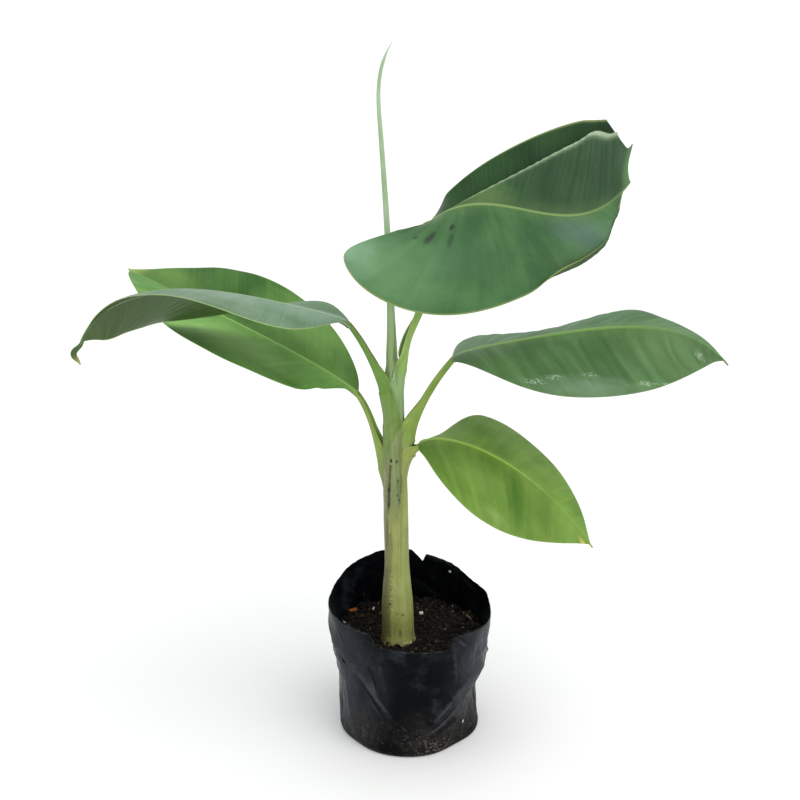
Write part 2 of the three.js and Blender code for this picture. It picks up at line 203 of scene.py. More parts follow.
def tint(amount, base, over):
    return put("ShaderNodeMix", {0: amount, 6: base, 7: over}, data_type="RGBA").outputs[2]


def coat(color, code, *shares):  # lays a paint over a colour, as far as all the shares let it show
    return tint(times(*shares), color, paint(code))


def noise(place, scale, detail, output="Fac"):
    return put("ShaderNodeTexNoise", {"Vector": place, "Scale": scale, "Detail": detail}).outputs[output]


def mapPlace(name):
    return put("ShaderNodeUVMap", uv_map=name).outputs["UV"]


def solidPlace():  # has no seam
    return put("ShaderNodeTexCoord").outputs["Object"]


def apart(vector):
    return put("ShaderNodeSeparateXYZ", {"Vector": vector}).outputs


def newMaterial(name, shine=0.5):
    material = bpy.data.materials.new(name)
    material.use_nodes = True
    bench["tree"] = material.node_tree
    shader = bench["tree"].nodes["Principled BSDF"]
    shader.inputs["Specular IOR Level"].default_value = shine
    return material, shader


def dress(shader, color, rough, height, depth, strength):
    relief = put("ShaderNodeBump", {"Height": height, "Distance": depth, "Strength": strength})
    join(color, shader.inputs["Base Color"])
    join(rough, shader.inputs["Roughness"])
    join(relief.outputs["Normal"], shader.inputs["Normal"])


# shared effects

def effectGroup(name, output, **inputs):
    group = bpy.data.node_groups.new(name, "ShaderNodeTree")
    for label, kind in inputs.items():
        group.interface.new_socket(label, in_out="INPUT", socket_type="NodeSocket" + kind)
    group.interface.new_socket(output, in_out="OUTPUT", socket_type="NodeSocketFloat")
    bench["tree"] = group
    return group, group.nodes.new("NodeGroupInput").outputs


def closeGroup(group, value):
    join(value, group.nodes.new("NodeGroupOutput").inputs[0])
    return group


def effect(group, *values):  # values in the order of the group's inputs
    return put("ShaderNodeGroup", dict(enumerate(values)), node_tree=group).outputs[0]


def makeMottle():  # soft patches of a given size
    group, given = effectGroup("mottle", "Tone", Place="Vector", Size="Float")
    return closeGroup(group, noise(given["Place"], calc("DIVIDE", 1.0, given["Size"]), 4.0))


def makeFibres():  # streaks that run along the map's second direction
    group, given = effectGroup("fibres", "Tone", Place="Vector", Width="Float", Length="Float")
    x, y, _ = apart(given["Place"])
    stretched = put("ShaderNodeCombineXYZ", {
        "X": calc("DIVIDE", x, given["Width"]), "Y": calc("DIVIDE", y, given["Length"])})
    return closeGroup(group, noise(stretched.outputs[0], 1.0, 3.0))


def makeSpecks():  # small scattered dots
    group, given = effectGroup(
        "specks", "Mask", Place="Vector", Spacing="Float", Cover="Float", Radius="Float")
    scale = calc("DIVIDE", 1.0, given["Spacing"])
    cells = put("ShaderNodeTexVoronoi", {"Vector": given["Place"], "Scale": scale}).outputs
    chosen = calc("LESS_THAN", apart(cells["Color"])[0], given["Cover"])
    dot = ramp(cells["Distance"], given["Radius"], times(given["Radius"], 1.5), 1.0, 0.0)
    return closeGroup(group, times(dot, chosen))


def makeOvalMark():  # one oval patch with a ragged edge
    group, given = effectGroup(
        "ovalMark", "Mask", Place="Vector", Centre="Vector", Size="Vector", Ragged="Float", Soft="Float")
    offset = vectorCalc("SUBTRACT", given["Place"], given["Centre"])
    offset = vectorCalc("DIVIDE", offset, given["Size"])
    drift = times(calc("SUBTRACT", noise(offset, 2.2, 3.0), 0.5), given["Ragged"])
    reach = plus(vectorCalc("LENGTH", offset), drift)
    inside = calc("SUBTRACT", 1.0, given["Soft"])
    outside = plus(1.0, times(given["Soft"], 0.4))
    return closeGroup(group, ramp(reach, inside, outside, 1.0, 0.0))


def makeStroke():  # a line from one place to another, soft at its sides
    group, given = effectGroup("stroke", "Mask", Place="Vector", From="Vector", To="Vector", Width="Float")
    offset = vectorCalc("SUBTRACT", given["Place"], given["From"])
    reach = vectorCalc("SUBTRACT", given["To"], given["From"])
    share = calc("DIVIDE", vectorCalc("DOT_PRODUCT", offset, reach), vectorCalc("DOT_PRODUCT", reach, reach))
    share = calc("MINIMUM", calc("MAXIMUM", share, 0.0), 1.0)
    aside = vectorCalc("SUBTRACT", offset, vectorCalc("MULTIPLY", reach, share))
    ragged = ramp(noise(given["Place"], 900.0, 2.0), 0.3, 0.7, 0.6, 1.5)
    away = calc("DIVIDE", times(vectorCalc("LENGTH", aside), ragged), given["Width"])
    return closeGroup(group, ramp(away, 0.4, 1.0, 1.0, 0.0))


def makeCreases():  # a web of fine creases, as in film that has been crumpled
    group, given = effectGroup("creases", "Line", Place="Vector", Size="Float")
    scale = calc("DIVIDE", 1.0, given["Size"])
    drift = vectorCalc("MULTIPLY", noise(given["Place"], scale, 2.0, "Color"), times(given["Size"], 0.8))
    moved = vectorCalc("ADD", given["Place"], drift)
    cells = put("ShaderNodeTexVoronoi", {"Vector": moved, "Scale": scale}, feature="DISTANCE_TO_EDGE")
    return closeGroup(group, ramp(cells.outputs["Distance"], 0.0, 0.12, 1.0, 0.0))


mottle, fibres, specks = makeMottle(), makeFibres(), makeSpecks()
ovalMark, stroke, creases = makeOvalMark(), makeStroke(), makeCreases()
print("effects: mottle, fibres, specks, ovalMark, stroke, creases")


def spot(place, x, y, wide, tall, ragged, soft):
    return effect(ovalMark, place, (x * mm, y * mm, 0), (wide * mm, tall * mm, 1), ragged, soft)


# camera, floor and light

camera = dict(place=(-5.5, -950, 560), down=20, lens=77.58, sensor=36)
floor = dict(half=9000, color="ffffff", roughness=0.8)
sky = dict(color="fbfdff", strength=0.72)
lamps = dict(
    key=dict(toward=(0.42, -0.5, 0.85), strength=1.5, angle=70, color=(1.0, 0.985, 0.955)),
    rim=dict(toward=(-0.6, 0.5, 0.7), strength=0.35, angle=90, color=(0.95, 0.98, 1.0)),
)


def addCamera():
    data = bpy.data.cameras.new("photoCamera")
    data.lens = camera["lens"]
    data.sensor_width = camera["sensor"]
    eye = bpy.data.objects.new("photoCamera", data)
    eye.location = [c * mm for c in camera["place"]]
    eye.rotation_euler = (np.radians(90 - camera["down"]), 0, 0)
    bpy.context.scene.collection.objects.link(eye)
    bpy.context.scene.camera = eye


def addFloor():
    half = floor["half"] * mm
    mesh = bpy.data.meshes.new("paleFloor")
    corners = [(-half, -half, 0), (half, -half, 0), (half, half, 0), (-half, half, 0)]
    mesh.from_pydata(corners, [], [[0, 1, 2, 3]])
    material, shader = newMaterial("paleFloor")
    shader.inputs["Roughness"].default_value = floor["roughness"]
    shader.inputs["Base Color"].default_value = paint(floor["color"])
    mesh.materials.append(material)
    ground = bpy.data.objects.new("paleFloor", mesh)
    bpy.context.scene.collection.objects.link(ground)


def addLight():
    world = bpy.data.worlds.new("studio")
    world.use_nodes = True
    glow = world.node_tree.nodes["Background"]
    glow.inputs["Color"].default_value = paint(sky["color"])
    glow.inputs["Strength"].default_value = sky["strength"]
    bpy.context.scene.world = world
    for name, lamp in lamps.items():
        data = bpy.data.lights.new(name, "SUN")
        data.energy = lamp["strength"]
        data.angle = np.radians(lamp["angle"])
        data.color = lamp["color"]
        panel = bpy.data.objects.new(name, data)
        away = unitRows(np.array(lamp["toward"]))
        panel.rotation_euler = (np.arccos(away[2]), 0, np.arctan2(away[0], -away[1]))
        bpy.context.scene.collection.objects.link(panel)
    bpy.context.scene.view_settings.view_transform = "Standard"


addCamera()
addFloor()
addLight()
print("stage: camera, floor,", len(lamps), "lamps")


# grow bag: thin black film with folds, a turned-down lip, a notch and a folded hem at the back

bag = dict(
    footRadius=41.5, footShift=1.7, footToward=-70, heel=2, heelHeight=3, flatTop=26,
    mouthRadius=49.5, mouthHeight=81, rimBack=13.5, rimBackPower=1.9, rimSlant=4,
    lip=7, lipSpan=(-119, -114, -62, -57), crumple=0.7, film=0.45, columns=420, rows=130,
    meanRadius=46, seam=(130, 180), foldGain=1.5, foldSharp=0.8, foldRound=0.4, foldTaper=0.55, ridgeMarkHalf=0.6,
    notchAt=79.5, notchHalf=(2.5, 8.5), notch=6.5, flap=-0.8, flapRise=(56, 62), flapEnd=78,
    hem=3.2, hemStep=1.1, hemSpan=(56, 59, 76, 78), holdTop=7, calm=0.65, calmRise=(72, 84), wornAndLit=1.3,
    facetGain=0.9, rimThin=0.12, thinFrom=0.985, rimLitFrom=0.99,
    underside=(0.05, 0.35, 0.6, 0.8, 0.93), inside=(0.8, 0.4, 0.05),
)
# fine waves of the rim as height, cell and seed, and of the film as depth, slant, squeeze, cell and seed
rimWaves = [(0.5, 6, 3), (0.2, 1.7, 4)]
filmWaves = [(0.3, 0, 0.6, 6, 7), (0.14, 0.8, 0.4, 2.6, 8)]
# pressed-in places as angle, height, half width in degrees, half height and depth
bagDents = [(-8, 28, 40, 9, 4.5), (-18, 14, 34, 13, 3.4), (-174, 36, 30, 20, 2.0), (24, 82, 15, 20, -3.6)]
# where its foot is pressed straight: angle, half width and depth
bagFlats = [(-46, 22, 3.4), (-140, 18, 1.6)]
# folds as angle and height of both ends, how far they stand out and how wide they are
bagFolds = [
    (-176, 77, -133, 57, 1.3, 2.6), (-133, 57, -104, 27, 1.5, 2.4), (-172, 71, -133, 51, -1.1, 2.2),
    (-133, 51, -110, 26, -1.2, 2.4), (-186, 62, -143, 62, 0.7, 2.0), (-184, 56, -140, 55, 0.6, 1.8),
    (-122, 60, -117, 45, -1.7, 2.2), (-112, 62, -108, 46, 1.0, 2.6), (-58, 76, -55, 50, 0.9, 1.2),
    (-56, 80, -44, 71, -1.0, 1.5), (-15, 48, -37, 45, 1.4, 2.6), (-37, 45, -54, 38, 1.6, 2.4),
    (-54, 38, -72, 23, 1.5, 2.4), (-4, 31, -30, 32, -2.0, 3.2), (-30, 32, -54, 27, -1.7, 2.4),
    (-54, 27, -76, 16, -1.3, 2.2), (-16, 42, -46, 37, -0.8, 1.3), (-20, 27, -50, 21, 1.2, 2.4),
    (-144, 40, -141, 10, 0.8, 1.8), (-128, 30, -132, 8, -0.7, 2.0), (-96, 22, -88, 9, 0.6, 1.8),
    (-30, 66, -34, 52, -0.6, 1.6), (-76, 66, -84, 40, -0.4, 3.0), (-160, 34, -163, 12, -0.6, 2.0),
    (-24, 38, -60, 31, 0.7, 0.9), (-30, 24, -62, 15, 0.6, 0.9), (-168, 47, -150, 44, 0.5, 1.2),
    (-150, 20, -118, 12, 0.4, 1.6), (-12, 60, -40, 56, 0.5, 1.2),
]
# more folds round the back, by chance: ranges of their angle, height, lean and size
bagSpare = dict(
    seed=11, count=44, turn=(16, 164), height=(8, 84), lean=[(15, 60), (120, 165), (80, 100)],
    reach=(8, 26), depth=(0.4, 1.5), width=(1.4, 2.6),
)
# dust and grit on the film, and the painted sheen on its sides: angle, height, half sizes in mm
filmMarks = dict(
    dust=(-129, 17, 17, 14), grit=(-70, 4, 17, 8), dot=(-37, 14, 0.9, 1.2), fleck=(58, 83, 1.0, 0.9),
    sheenLeft=(-158, 46, 38, 50), sheenLeftOn=(202, 46, 38, 50), sheenRight=(-22, 60, 28, 28),
)
# film colours: the pale bluish sheen colour is painted reflection, lit and shade are a painted highlight and
# painted shade on the folds, and the worn colour is both wear and a painted highlight on the ridges and the
# rim
filmColors = dict(
    deep="030406", film="090b0f", paintedSheen="3a3f45", lit="46494d", shade="020203", dust="3f3a33", wornAndLit="5a5c5e",
    web="5b6068", grit="80766a", dot="dad8cf", fleck="c9ccca",
)


def roundBag(angle, rule):  # brings a pattern's two ends together
    turn = halfTurn(angle)
    near = smooth(turn, *bag["seam"])
    here, there = (rule(np.radians(turn - back) * bag["meanRadius"]) for back in (0, 360))
    return (1 - near) * here + near * there


def rimHeight(angle):
    turn = halfTurn(angle)
    height = bag["mouthHeight"] + bag["rimBack"] * np.maximum(0, sine(turn)) ** bag["rimBackPower"]
    height -= bag["rimSlant"] * cosine(turn) + bag["lip"] * between(turn, *bag["lipSpan"])
    height += bag["flap"] * smooth(turn, *bag["flapRise"]) * (turn < bag["flapEnd"])
    away = turn - bag["notchAt"]
    height -= bag["notch"] * np.maximum(0, 1 - np.abs(away) / np.where(away < 0, *bag["notchHalf"]))
    for size, cell, seed in rimWaves:
        height += roundBag(turn, lambda around: size * lumps(around, 0 * turn, cell, seed))
    return height


def pressedIn(angle, z):
    depths = 0 * angle + 0 * z
    for toward, middle, wide, tall, depth in bagDents:
        depths = depths + depth * bell(halfTurn(angle - toward) / wide) * bell((z - middle) / tall)
    depths = depths * smooth(z, 0, 2 * bag["heelHeight"])
    for toward, wide, depth in bagFlats:
        low = 1 - smooth(z, bag["heelHeight"], bag["flatTop"])
        depths = depths + depth * bell(halfTurn(angle - toward) / wide) * low
    return depths


def plainBagRadius(angle, z):
    level = np.radians(angle)
    foot = bag["footRadius"] + bag["footShift"] * cosine(angle - bag["footToward"])
    heel = foot + bag["heel"] * np.sqrt(np.clip(z / bag["heelHeight"], 0, 1))
    up = (z - bag["heelHeight"]) / (bag["mouthHeight"] - bag["heelHeight"])
    folds = np.sin(5 * level + 2.5 * up) + 0.6 * np.sin(3 * level - 4 * up)
    plain = lerp((heel, bag["mouthRadius"]), np.maximum(0, up))
    return plain + bag["crumple"] * smooth(up, 0, 0.3) * folds - pressedIn(angle, z)


def spareFolds():
    rng = np.random.default_rng(bagSpare["seed"])
    made = []
    for _ in range(bagSpare["count"]):
        angle, z = rng.uniform(*bagSpare["turn"]), rng.uniform(*bagSpare["height"])
        lean = rng.choice([rng.uniform(*ends) for ends in bagSpare["lean"]])
        reach = rng.uniform(*bagSpare["reach"])
        turn = np.degrees(reach * cosine(lean) / bag["meanRadius"])
        depth = rng.uniform(*bagSpare["depth"]) * rng.choice([-1, 1])
        width = rng.uniform(*bagSpare["width"])
        made.append((angle, z, angle + turn, z + reach * sine(lean), depth, width))
    return made


def foldField(angle, z):  # how far the folds push the film out, and where its ridges are painted pale, as wear and painted highlight
    push = np.zeros(np.broadcast(angle, z).shape)
    wornAndLit = np.zeros_like(push)
    perDegree = np.radians(1) * bag["meanRadius"]
    for fromAngle, fromZ, toAngle, toZ, depth, width in bagFolds + spareFolds():
        x = halfTurn(angle - (fromAngle + toAngle) / 2) * perDegree
        y = z - (fromZ + toZ) / 2
        runX, runZ = (toAngle - fromAngle) * perDegree, toZ - fromZ
        share = np.clip((x * runX + y * runZ) / (runX ** 2 + runZ ** 2), -0.5, 0.5)
        off = np.hypot(x - share * runX, y - share * runZ)
        taper = 1 - bag["foldTaper"] * np.abs(2 * share) ** 3
        fall = np.exp(-np.hypot(off, bag["foldRound"]) / (width * bag["foldSharp"]))
        push += bag["foldGain"] * depth * taper * fall
        if depth > 0:
            wornAndLit = np.maximum(wornAndLit, np.exp(-off / bag["ridgeMarkHalf"]) * taper)
    return push, wornAndLit


def bagSurface(angle, z):
    push, wornAndLit = foldField(angle, z)
    for depth, slant, squeeze, cell, seed in filmWaves:
        ripple = lambda around: depth * lumps(around + slant * z, z * squeeze, cell, seed)
        push = push + roundBag(angle, ripple)
    hold = smooth(z, 0, bag["holdTop"])  # the folds run out at the flat underside
    calm = 1 - bag["calm"] * smooth(z, *bag["calmRise"])  # and are weak at the rim
    return plainBagRadius(angle, z) + hold * calm * push, wornAndLit


def filmMark(place, key, ragged, soft):
    angle, z, wide, tall = filmMarks[key]
    return spot(place, np.radians(angle) * bag["meanRadius"], z, wide, tall, ragged, soft)


def bagMaterial():
    material, shader = newMaterial("blackFilm", 0.05)
    shader.inputs["IOR"].default_value = 1.5
    place = mapPlace("filmPlan")  # metres round and up
    wearAndHighlight, up, _ = apart(mapPlace("filmWear"))
    facet = apart(mapPlace("filmFacet"))[0]
    whole = solidPlace()
    patches, fine, grains = (effect(mottle, whole, size) for size in (0.018, 0.0025, 0.0016))
    web = effect(creases, whole, 0.009)
    seam = ramp(calc("ABSOLUTE", apart(place)[0]), 0.125, 0.1435, 1.0, 0.0)
    drag = calc("SUBTRACT", effect(fibres, place, 0.004, 0.03), 0.5)
    drag = plus(times(drag, seam), 0.5)
    color = tint(patches, paint(filmColors["deep"]), paint(filmColors["film"]))
    paintedSheen = ramp(patches, 0.55, 0.75, 0.0, 0.4)
    for key in ("sheenLeft", "sheenLeftOn", "sheenRight"):
        paintedSheen = calc("MAXIMUM", paintedSheen, filmMark(place, key, 0.8, 0.9))
    color = coat(color, filmColors["paintedSheen"], paintedSheen, 0.8)
    # painted highlight on fold facets that face up, painted shade on those that face down
    color = coat(color, filmColors["lit"], ramp(facet, 0.56, 0.95, 0.0, 0.7))
    color = coat(color, filmColors["shade"], ramp(facet, 0.44, 0.1, 0.0, 0.8))
    low = times(ramp(up, 0.04, 0.004), ramp(patches, 0.36, 0.62), 0.7)
    dusty = times(calc("MAXIMUM", low, filmMark(place, "dust", 0.9, 0.9)), ramp(fine, 0.28, 0.62))
    color = coat(color, filmColors["dust"], dusty, 0.5)
    # pale colour on the fold ridges and the rim, partly wear and partly painted highlight
    color = coat(color, filmColors["wornAndLit"], wearAndHighlight, ramp(fine, 0.36, 0.66), 0.34)
    color = coat(color, filmColors["web"], web, ramp(patches, 0.45, 0.7, 0.0, 0.05))
    thick = times(ramp(grains, 0.52, 0.6), filmMark(place, "grit", 0.9, 0.8))
    thin = times(ramp(grains, 0.63, 0.68), ramp(up, 0.034, 0.002))
    color = coat(color, filmColors["grit"], calc("MAXIMUM", thick, thin), 0.42)
    color = coat(color, filmColors["dot"], filmMark(place, "dot", 0.5, 0.3))
    color = coat(color, filmColors["fleck"], filmMark(place, "fleck", 0.6, 0.3))
    rough = plus(ramp(drag, 0.3, 0.7, 0.24, 0.42), times(dusty, 0.4))
    dress(shader, color, rough, plus(drag, times(fine, 0.35), times(web, 0.25)), 0.0007, 0.6)
    return material


def addBag():
    columns, rows, film = bag["columns"], bag["rows"], bag["film"]
    angle = np.arange(columns) * 360 / columns - 180
    rim = rimHeight(angle)
    share = np.linspace(0, 1, rows + 1)
    z = share[:, None] * rim
    radius, wornAndLit = bagSurface(angle[None], z)
    bulge = radius - plainBagRadius(angle[None], z)
    slope = np.gradient(bulge, axis=0) / np.gradient(z, axis=0)
    facet = np.clip(0.5 - bag["facetGain"] * slope, 0, 1)  # 1 faces up
    thinned = bag["rimThin"] * smooth(share, bag["thinFrom"], 1.0)
    # the rim's pale edge is a painted highlight
    rimHighlight = bag["wornAndLit"] * smooth(share, bag["rimLitFrom"], 1)
    folded = between(angle, *bag["hemSpan"])
    rings, marks, facets = [], [], []

    def addRing(reach, height, mark=0, facing=0.5):
        rings.append(polar(reach, angle, height))
        marks.append(mark + 0 * angle)
        facets.append(facing + 0 * angle)

    for scale in bag["underside"]:  # underside, from its middle out
        addRing(radius[0] * scale, 0)
    for r in range(rows + 1):
        addRing(radius[r] - thinned[r], z[r], np.maximum(wornAndLit[r], rimHighlight[r]), facet[r])
    addRing(radius[rows] - film / 2, rim + film / 3, bag["wornAndLit"])  # rounded edge of the film
    for r in [*range(rows, rows - 12, -1), *range(rows - 12, -1, -3), 0]:  # inside, from the rim down
        down = rim - z[r]
        step = bag["hemStep"] * folded * between(down, -0.1, 0.7, bag["hem"] - 0.5, bag["hem"])
        mark = np.maximum(wornAndLit[r] * 0.3, 0.35 * folded * (down < bag["hem"]))
        addRing(radius[r] - film - step, np.maximum(z[r], film), mark)
    for scale in bag["inside"]:
        addRing((radius[0] - film) * scale, film)
    rings, marks, facets = np.array(rings), np.array(marks), np.array(facets)
    height = rings[..., 2] * mm
    around = np.radians(angle) * bag["meanRadius"] * mm
    addTube("bag_film", rings, bagMaterial(), "bag_film", ["grow_bag"],
            filmPlan=(around, height), filmWear=(marks, height), filmFacet=(facets, marks))


addBag()


# soil: a dark bed of clods with loose crumbs, bark chips and a few white grains

soil = dict(
    level=62.7, lump=1.5, clod=21, seatRadius=19, seatEdge=12, gap=0.6, rings=80, around=220, bottom=40,
    foot=0.86, edgeDrop=1.2, grain=0.0016, crumbGrain=0.0009, chipGrain=0.0008, clearance=10.5,
    color="080605", light="1c1712",
)
soilWaves = [(1.1, 5.5, 31), (0.7, 2.4, 32), (0.35, 1.1, 33)]  # height, cell and seed
anywhere = (-180, 180, 0)  # angles and the least share of the bed's area
crumbs = dict(
    dark=dict(seed=21, count=1900, size=(0.5, 1.8), color="0f0c0a", light="211a15"),
    brown=dict(seed=22, count=300, size=(0.5, 1.5), color="33271b", light="55422e"),
    grey=dict(seed=27, count=170, size=(0.4, 1.0), color="4a4438", light="7c7464"),
    front=dict(seed=26, count=110, size=(0.5, 1.5), color="3d2f21", light="66513a", near=(-140, -35, 0.55)),
    white=dict(seed=23, count=16, size=(0.4, 0.8), color="a9a498", light="d8d3c8"),
)
crumbShape = dict(margin=1.6, bumps=(0.72, 1.25), stretch=(0.6, 1.2), lift=0.35)
chips = dict(
    seed=24, count=46, margin=3.2, length=(2.0, 5.5), width=(0.14, 0.4), thickness=(0.3, 0.7),
    uneven=(0.8, 1.2), tilt=0.3, lift=0.5, color="33251a", light="5b4530",
)
singleShape = dict(around=18, rows=26, end=0.985, bluntness=2.6, knobs=0.28, grit=0.1, sway=0.12, lift=0.9)
# single pieces that stand out: place, length, width, thickness, turn, tilt and colours
singles = dict(
    orange_chip=dict(place=(-36, 23.5), size=(7.5, 3.8, 1.6), turn=20, tilt=12, color="8a4f22",
                     light="b06a30"),
    white_grain=dict(place=(7.7, 20.3), size=(2.6, 2.4, 2.2), turn=0, tilt=0, color="d9d6cc",
                     light="f4f2ea"),
    pale_fleck=dict(place=(-22.3, 27.4), size=(4.6, 1.3, 0.7), turn=80, tilt=8, color="8f8d86",
                    light="b9b6ac"),
    pale_chip=dict(place=(-40, 12.7), size=(2.6, 1.5, 0.8), turn=130, tilt=10, color="7f8078",
                   light="a3a49a"),
    twig=dict(place=(36.5, 15), size=(17, 1.5, 1.3), turn=-72, tilt=9, color="4f4132", light="7d6a55"),
)
stemFoot = np.array([-6.4, -10.0])


def soilHeight(x, y):
    away = np.hypot(x - stemFoot[0], y - stemFoot[1])
    wave = lambda distance: np.sin(2 * np.pi * distance / soil["clod"])
    clods = wave(x + 3) * wave(0.9 * y + 5) + 0.5 * wave(2 * y - 1.3 * x)
    rough = sum(height * lumps(x, y, cell, seed) for height, cell, seed in soilWaves)
    grown = smooth(away, soil["seatRadius"], soil["seatRadius"] + soil["seatEdge"])
    return soil["level"] + soil["lump"] * grown * clods + rough * (0.45 + 0.55 * grown)


def soilEdge(angle):
    level, _ = bagSurface(angle, np.full_like(angle, soil["level"]))
    return level - bag["film"] - soil["gap"]


edgeAngles = np.linspace(-180, 180, 721)
edgeRadii = soilEdge(edgeAngles)


def soilMaterial(name, dark, light, grain):
    material, shader = newMaterial(name, 0.2)
    place = solidPlace()
    clods, fine = effect(mottle, place, grain * 4), effect(mottle, place, grain)
    color = tint(ramp(clods, 0.35, 0.7), paint(dark), paint(light))
    color = coat(color, light, ramp(fine, 0.55, 0.75, 0.0, 0.5))
    dress(shader, color, ramp(fine, 0.3, 0.7, 0.75, 0.98), fine, grain * 0.6, 0.8)
    return material


def addSoil():
    angle = np.arange(soil["around"]) * 360 / soil["around"] - 180
    edge = soilEdge(angle)
    rings = [polar(edge * soil["foot"], angle, soil["bottom"])]
    for share in np.linspace(1, 0.01, soil["rings"]):
        ring = polar(edge * share, angle, 0.0)
        ring[:, 2] = soilHeight(ring[:, 0], ring[:, 1]) - soil["edgeDrop"] * smooth(share, 0.93, 1.0)
        rings.append(ring)
    bed = soilMaterial("dampSoil", soil["color"], soil["light"], soil["grain"])
    addTube("soil_bed", np.array(rings), bed, "potting_soil", ["soil"])


def icosahedron():
    g = (1 + 5 ** 0.5) / 2
    points = np.array([(-1, g, 0), (1, g, 0), (-1, -g, 0), (1, -g, 0), (0, -1, g), (0, 1, g),
                       (0, -1, -g), (0, 1, -g), (g, 0, -1), (g, 0, 1), (-g, 0, -1), (-g, 0, 1)])
    faces = [(0, 11, 5), (0, 5, 1), (0, 1, 7), (0, 7, 10), (0, 10, 11), (1, 5, 9), (5, 11, 4), (11, 10, 2),
             (10, 7, 6), (7, 1, 8), (3, 9, 4), (3, 4, 2), (3, 2, 6), (3, 6, 8), (3, 8, 9), (4, 9, 5),
             (2, 4, 11), (6, 2, 10), (8, 6, 7), (9, 8, 1)]
    return unitRows(points), faces


def turned(rng, count):  # random turns as matrices
    q = unitRows(rng.normal(size=(count, 4)))
    w, x, y, z = q.T
    rows = [1 - 2 * (y * y + z * z), 2 * (x * y - z * w), 2 * (x * z + y * w),
            2 * (x * y + z * w), 1 - 2 * (x * x + z * z), 2 * (y * z - x * w),
            2 * (x * z - y * w), 2 * (y * z + x * w), 1 - 2 * (x * x + y * y)]
    return np.stack(rows, -1).reshape(count, 3, 3)


def scattered(rng, count, margin, near=anywhere):  # places on the bed, clear of the stem and the film
    places = []
    while len(places) < count:
        angle, share = rng.uniform(near[0], near[1]), np.sqrt(rng.uniform(near[2], 1))
        place = polar(share * (np.interp(angle, edgeAngles, edgeRadii) - margin), angle, 0)[:2]
        if np.hypot(*(place - stemFoot)) > soil["clearance"]:
            places.append(place)
    return np.array(places).T


def addMany(name, shapes, x, y, lift, faces, look):  # small shapes on the bed, joined into one piece
    points = (shapes + table(x, y, soilHeight(x, y) + lift)[:, None]).reshape(-1, 3)
    corners = shapes.shape[1]
    joined = [[i + corners * n for i in face] for n in range(len(shapes)) for face in faces]
    addPiece(name, points, joined, look)


def addCrumbs(kind, plan):
    rng = np.random.default_rng(plan["seed"])
    count = plan["count"]
    ball, faces = icosahedron()
    size = lerp(plan["size"], rng.uniform(0, 1, count) ** 2)
    x, y = scattered(rng, count, crumbShape["margin"], plan.get("near", anywhere))
    bumps = rng.uniform(*crumbShape["bumps"], (count, len(ball), 1))
    shape = ball[None] * bumps * rng.uniform(*crumbShape["stretch"], (count, 1, 3)) * size[:, None, None]
    shape = np.einsum("nij,nkj->nki", turned(rng, count), shape)
    look = soilMaterial("soil_" + kind, plan["color"], plan["light"], soil["crumbGrain"])
    addMany("soil_crumbs_" + kind, shape, x, y, size * crumbShape["lift"], faces, look)


def addChips():
    rng = np.random.default_rng(chips["seed"])
    count = chips["count"]
    x, y = scattered(rng, count, chips["margin"])
    long = rng.uniform(*chips["length"], count)
    wide = long * rng.uniform(*chips["width"], count)
    thick = rng.uniform(*chips["thickness"], count)
    corner = np.array([(-1, -0.7, -1), (-0.4, -1, -1), (0.5, -0.9, -1), (1, -0.2, -1), (0.7, 0.8, -1),
                       (-0.8, 0.9, -1)])
    outline = np.concatenate([corner, corner * (0.92, 0.86, -1)])
    sides = [[k, (k + 1) % 6, (k + 1) % 6 + 6, k + 6] for k in range(6)]
    faces = [[5, 4, 3, 2, 1, 0], [6, 7, 8, 9, 10, 11], *sides]
    uneven = rng.uniform(*chips["uneven"], (count, len(outline), 3))
    shape = outline[None] * table(long, wide, thick)[:, None] / 2 * uneven
    tilt, spin = rng.normal(0, chips["tilt"], count)[:, None], rng.uniform(0, 2 * np.pi, count)[:, None]
    a, b, c = shape[..., 0], shape[..., 1], shape[..., 2]
    east, north = a * np.cos(spin) - b * np.sin(spin), a * np.sin(spin) + b * np.cos(spin)
    laid = table(east, north, c + a * np.sin(tilt))
    look = soilMaterial("barkChip", chips["color"], chips["light"], soil["chipGrain"])
    addMany("soil_chips", laid, x, y, chips["lift"], faces, look)


def addSingle(name, plan):  # one rough lump, drawn out to its own size
    angle = np.arange(singleShape["around"]) * 2 * np.pi / singleShape["around"]
    t = np.linspace(-1, 1, singleShape["rows"])[:, None]
    reach = np.sqrt(1 - (singleShape["end"] * np.abs(t)) ** singleShape["bluntness"])
    long, wide, thick = np.array(plan["size"]) / 2
    seed = len(name)
    knobs = 1 + singleShape["knobs"] * lumps(3 * t + 0 * angle, angle * 1.9, 1.0, seed)
    knobs = knobs + singleShape["grit"] * lumps(9 * t, angle * 4, 1.0, seed + 3)
    x = long * t + 0 * angle
    y = wide * reach * np.cos(angle) * knobs
    y = y + singleShape["sway"] * wide * lumps(2 * x, 0 * x, 2.5, seed + 5)
    z = thick * reach * np.sin(angle) * knobs
    turn, tilt = plan["turn"], plan["tilt"]
    x, z = x * cosine(tilt) - z * sine(tilt), x * sine(tilt) + z * cosine(tilt)
    place = np.array(plan["place"])
    ground = soilHeight(*place) + singleShape["lift"] + thick * 0.5
    rings = table(place[0] + x * cosine(turn) - y * sine(turn), place[1] + x * sine(turn) + y * cosine(turn),
                  ground + z)
    look = soilMaterial(name, plan["color"], plan["light"], soil["crumbGrain"])
    addTube("soil_" + name, rings, look, "potting_soil")


addSoil()
for kind, plan in crumbs.items():
    addCrumbs(kind, plan)
addChips()
for name, plan in singles.items():
    addSingle(name, plan)


# leaves: the rule of the solids, carried to a finer sheet

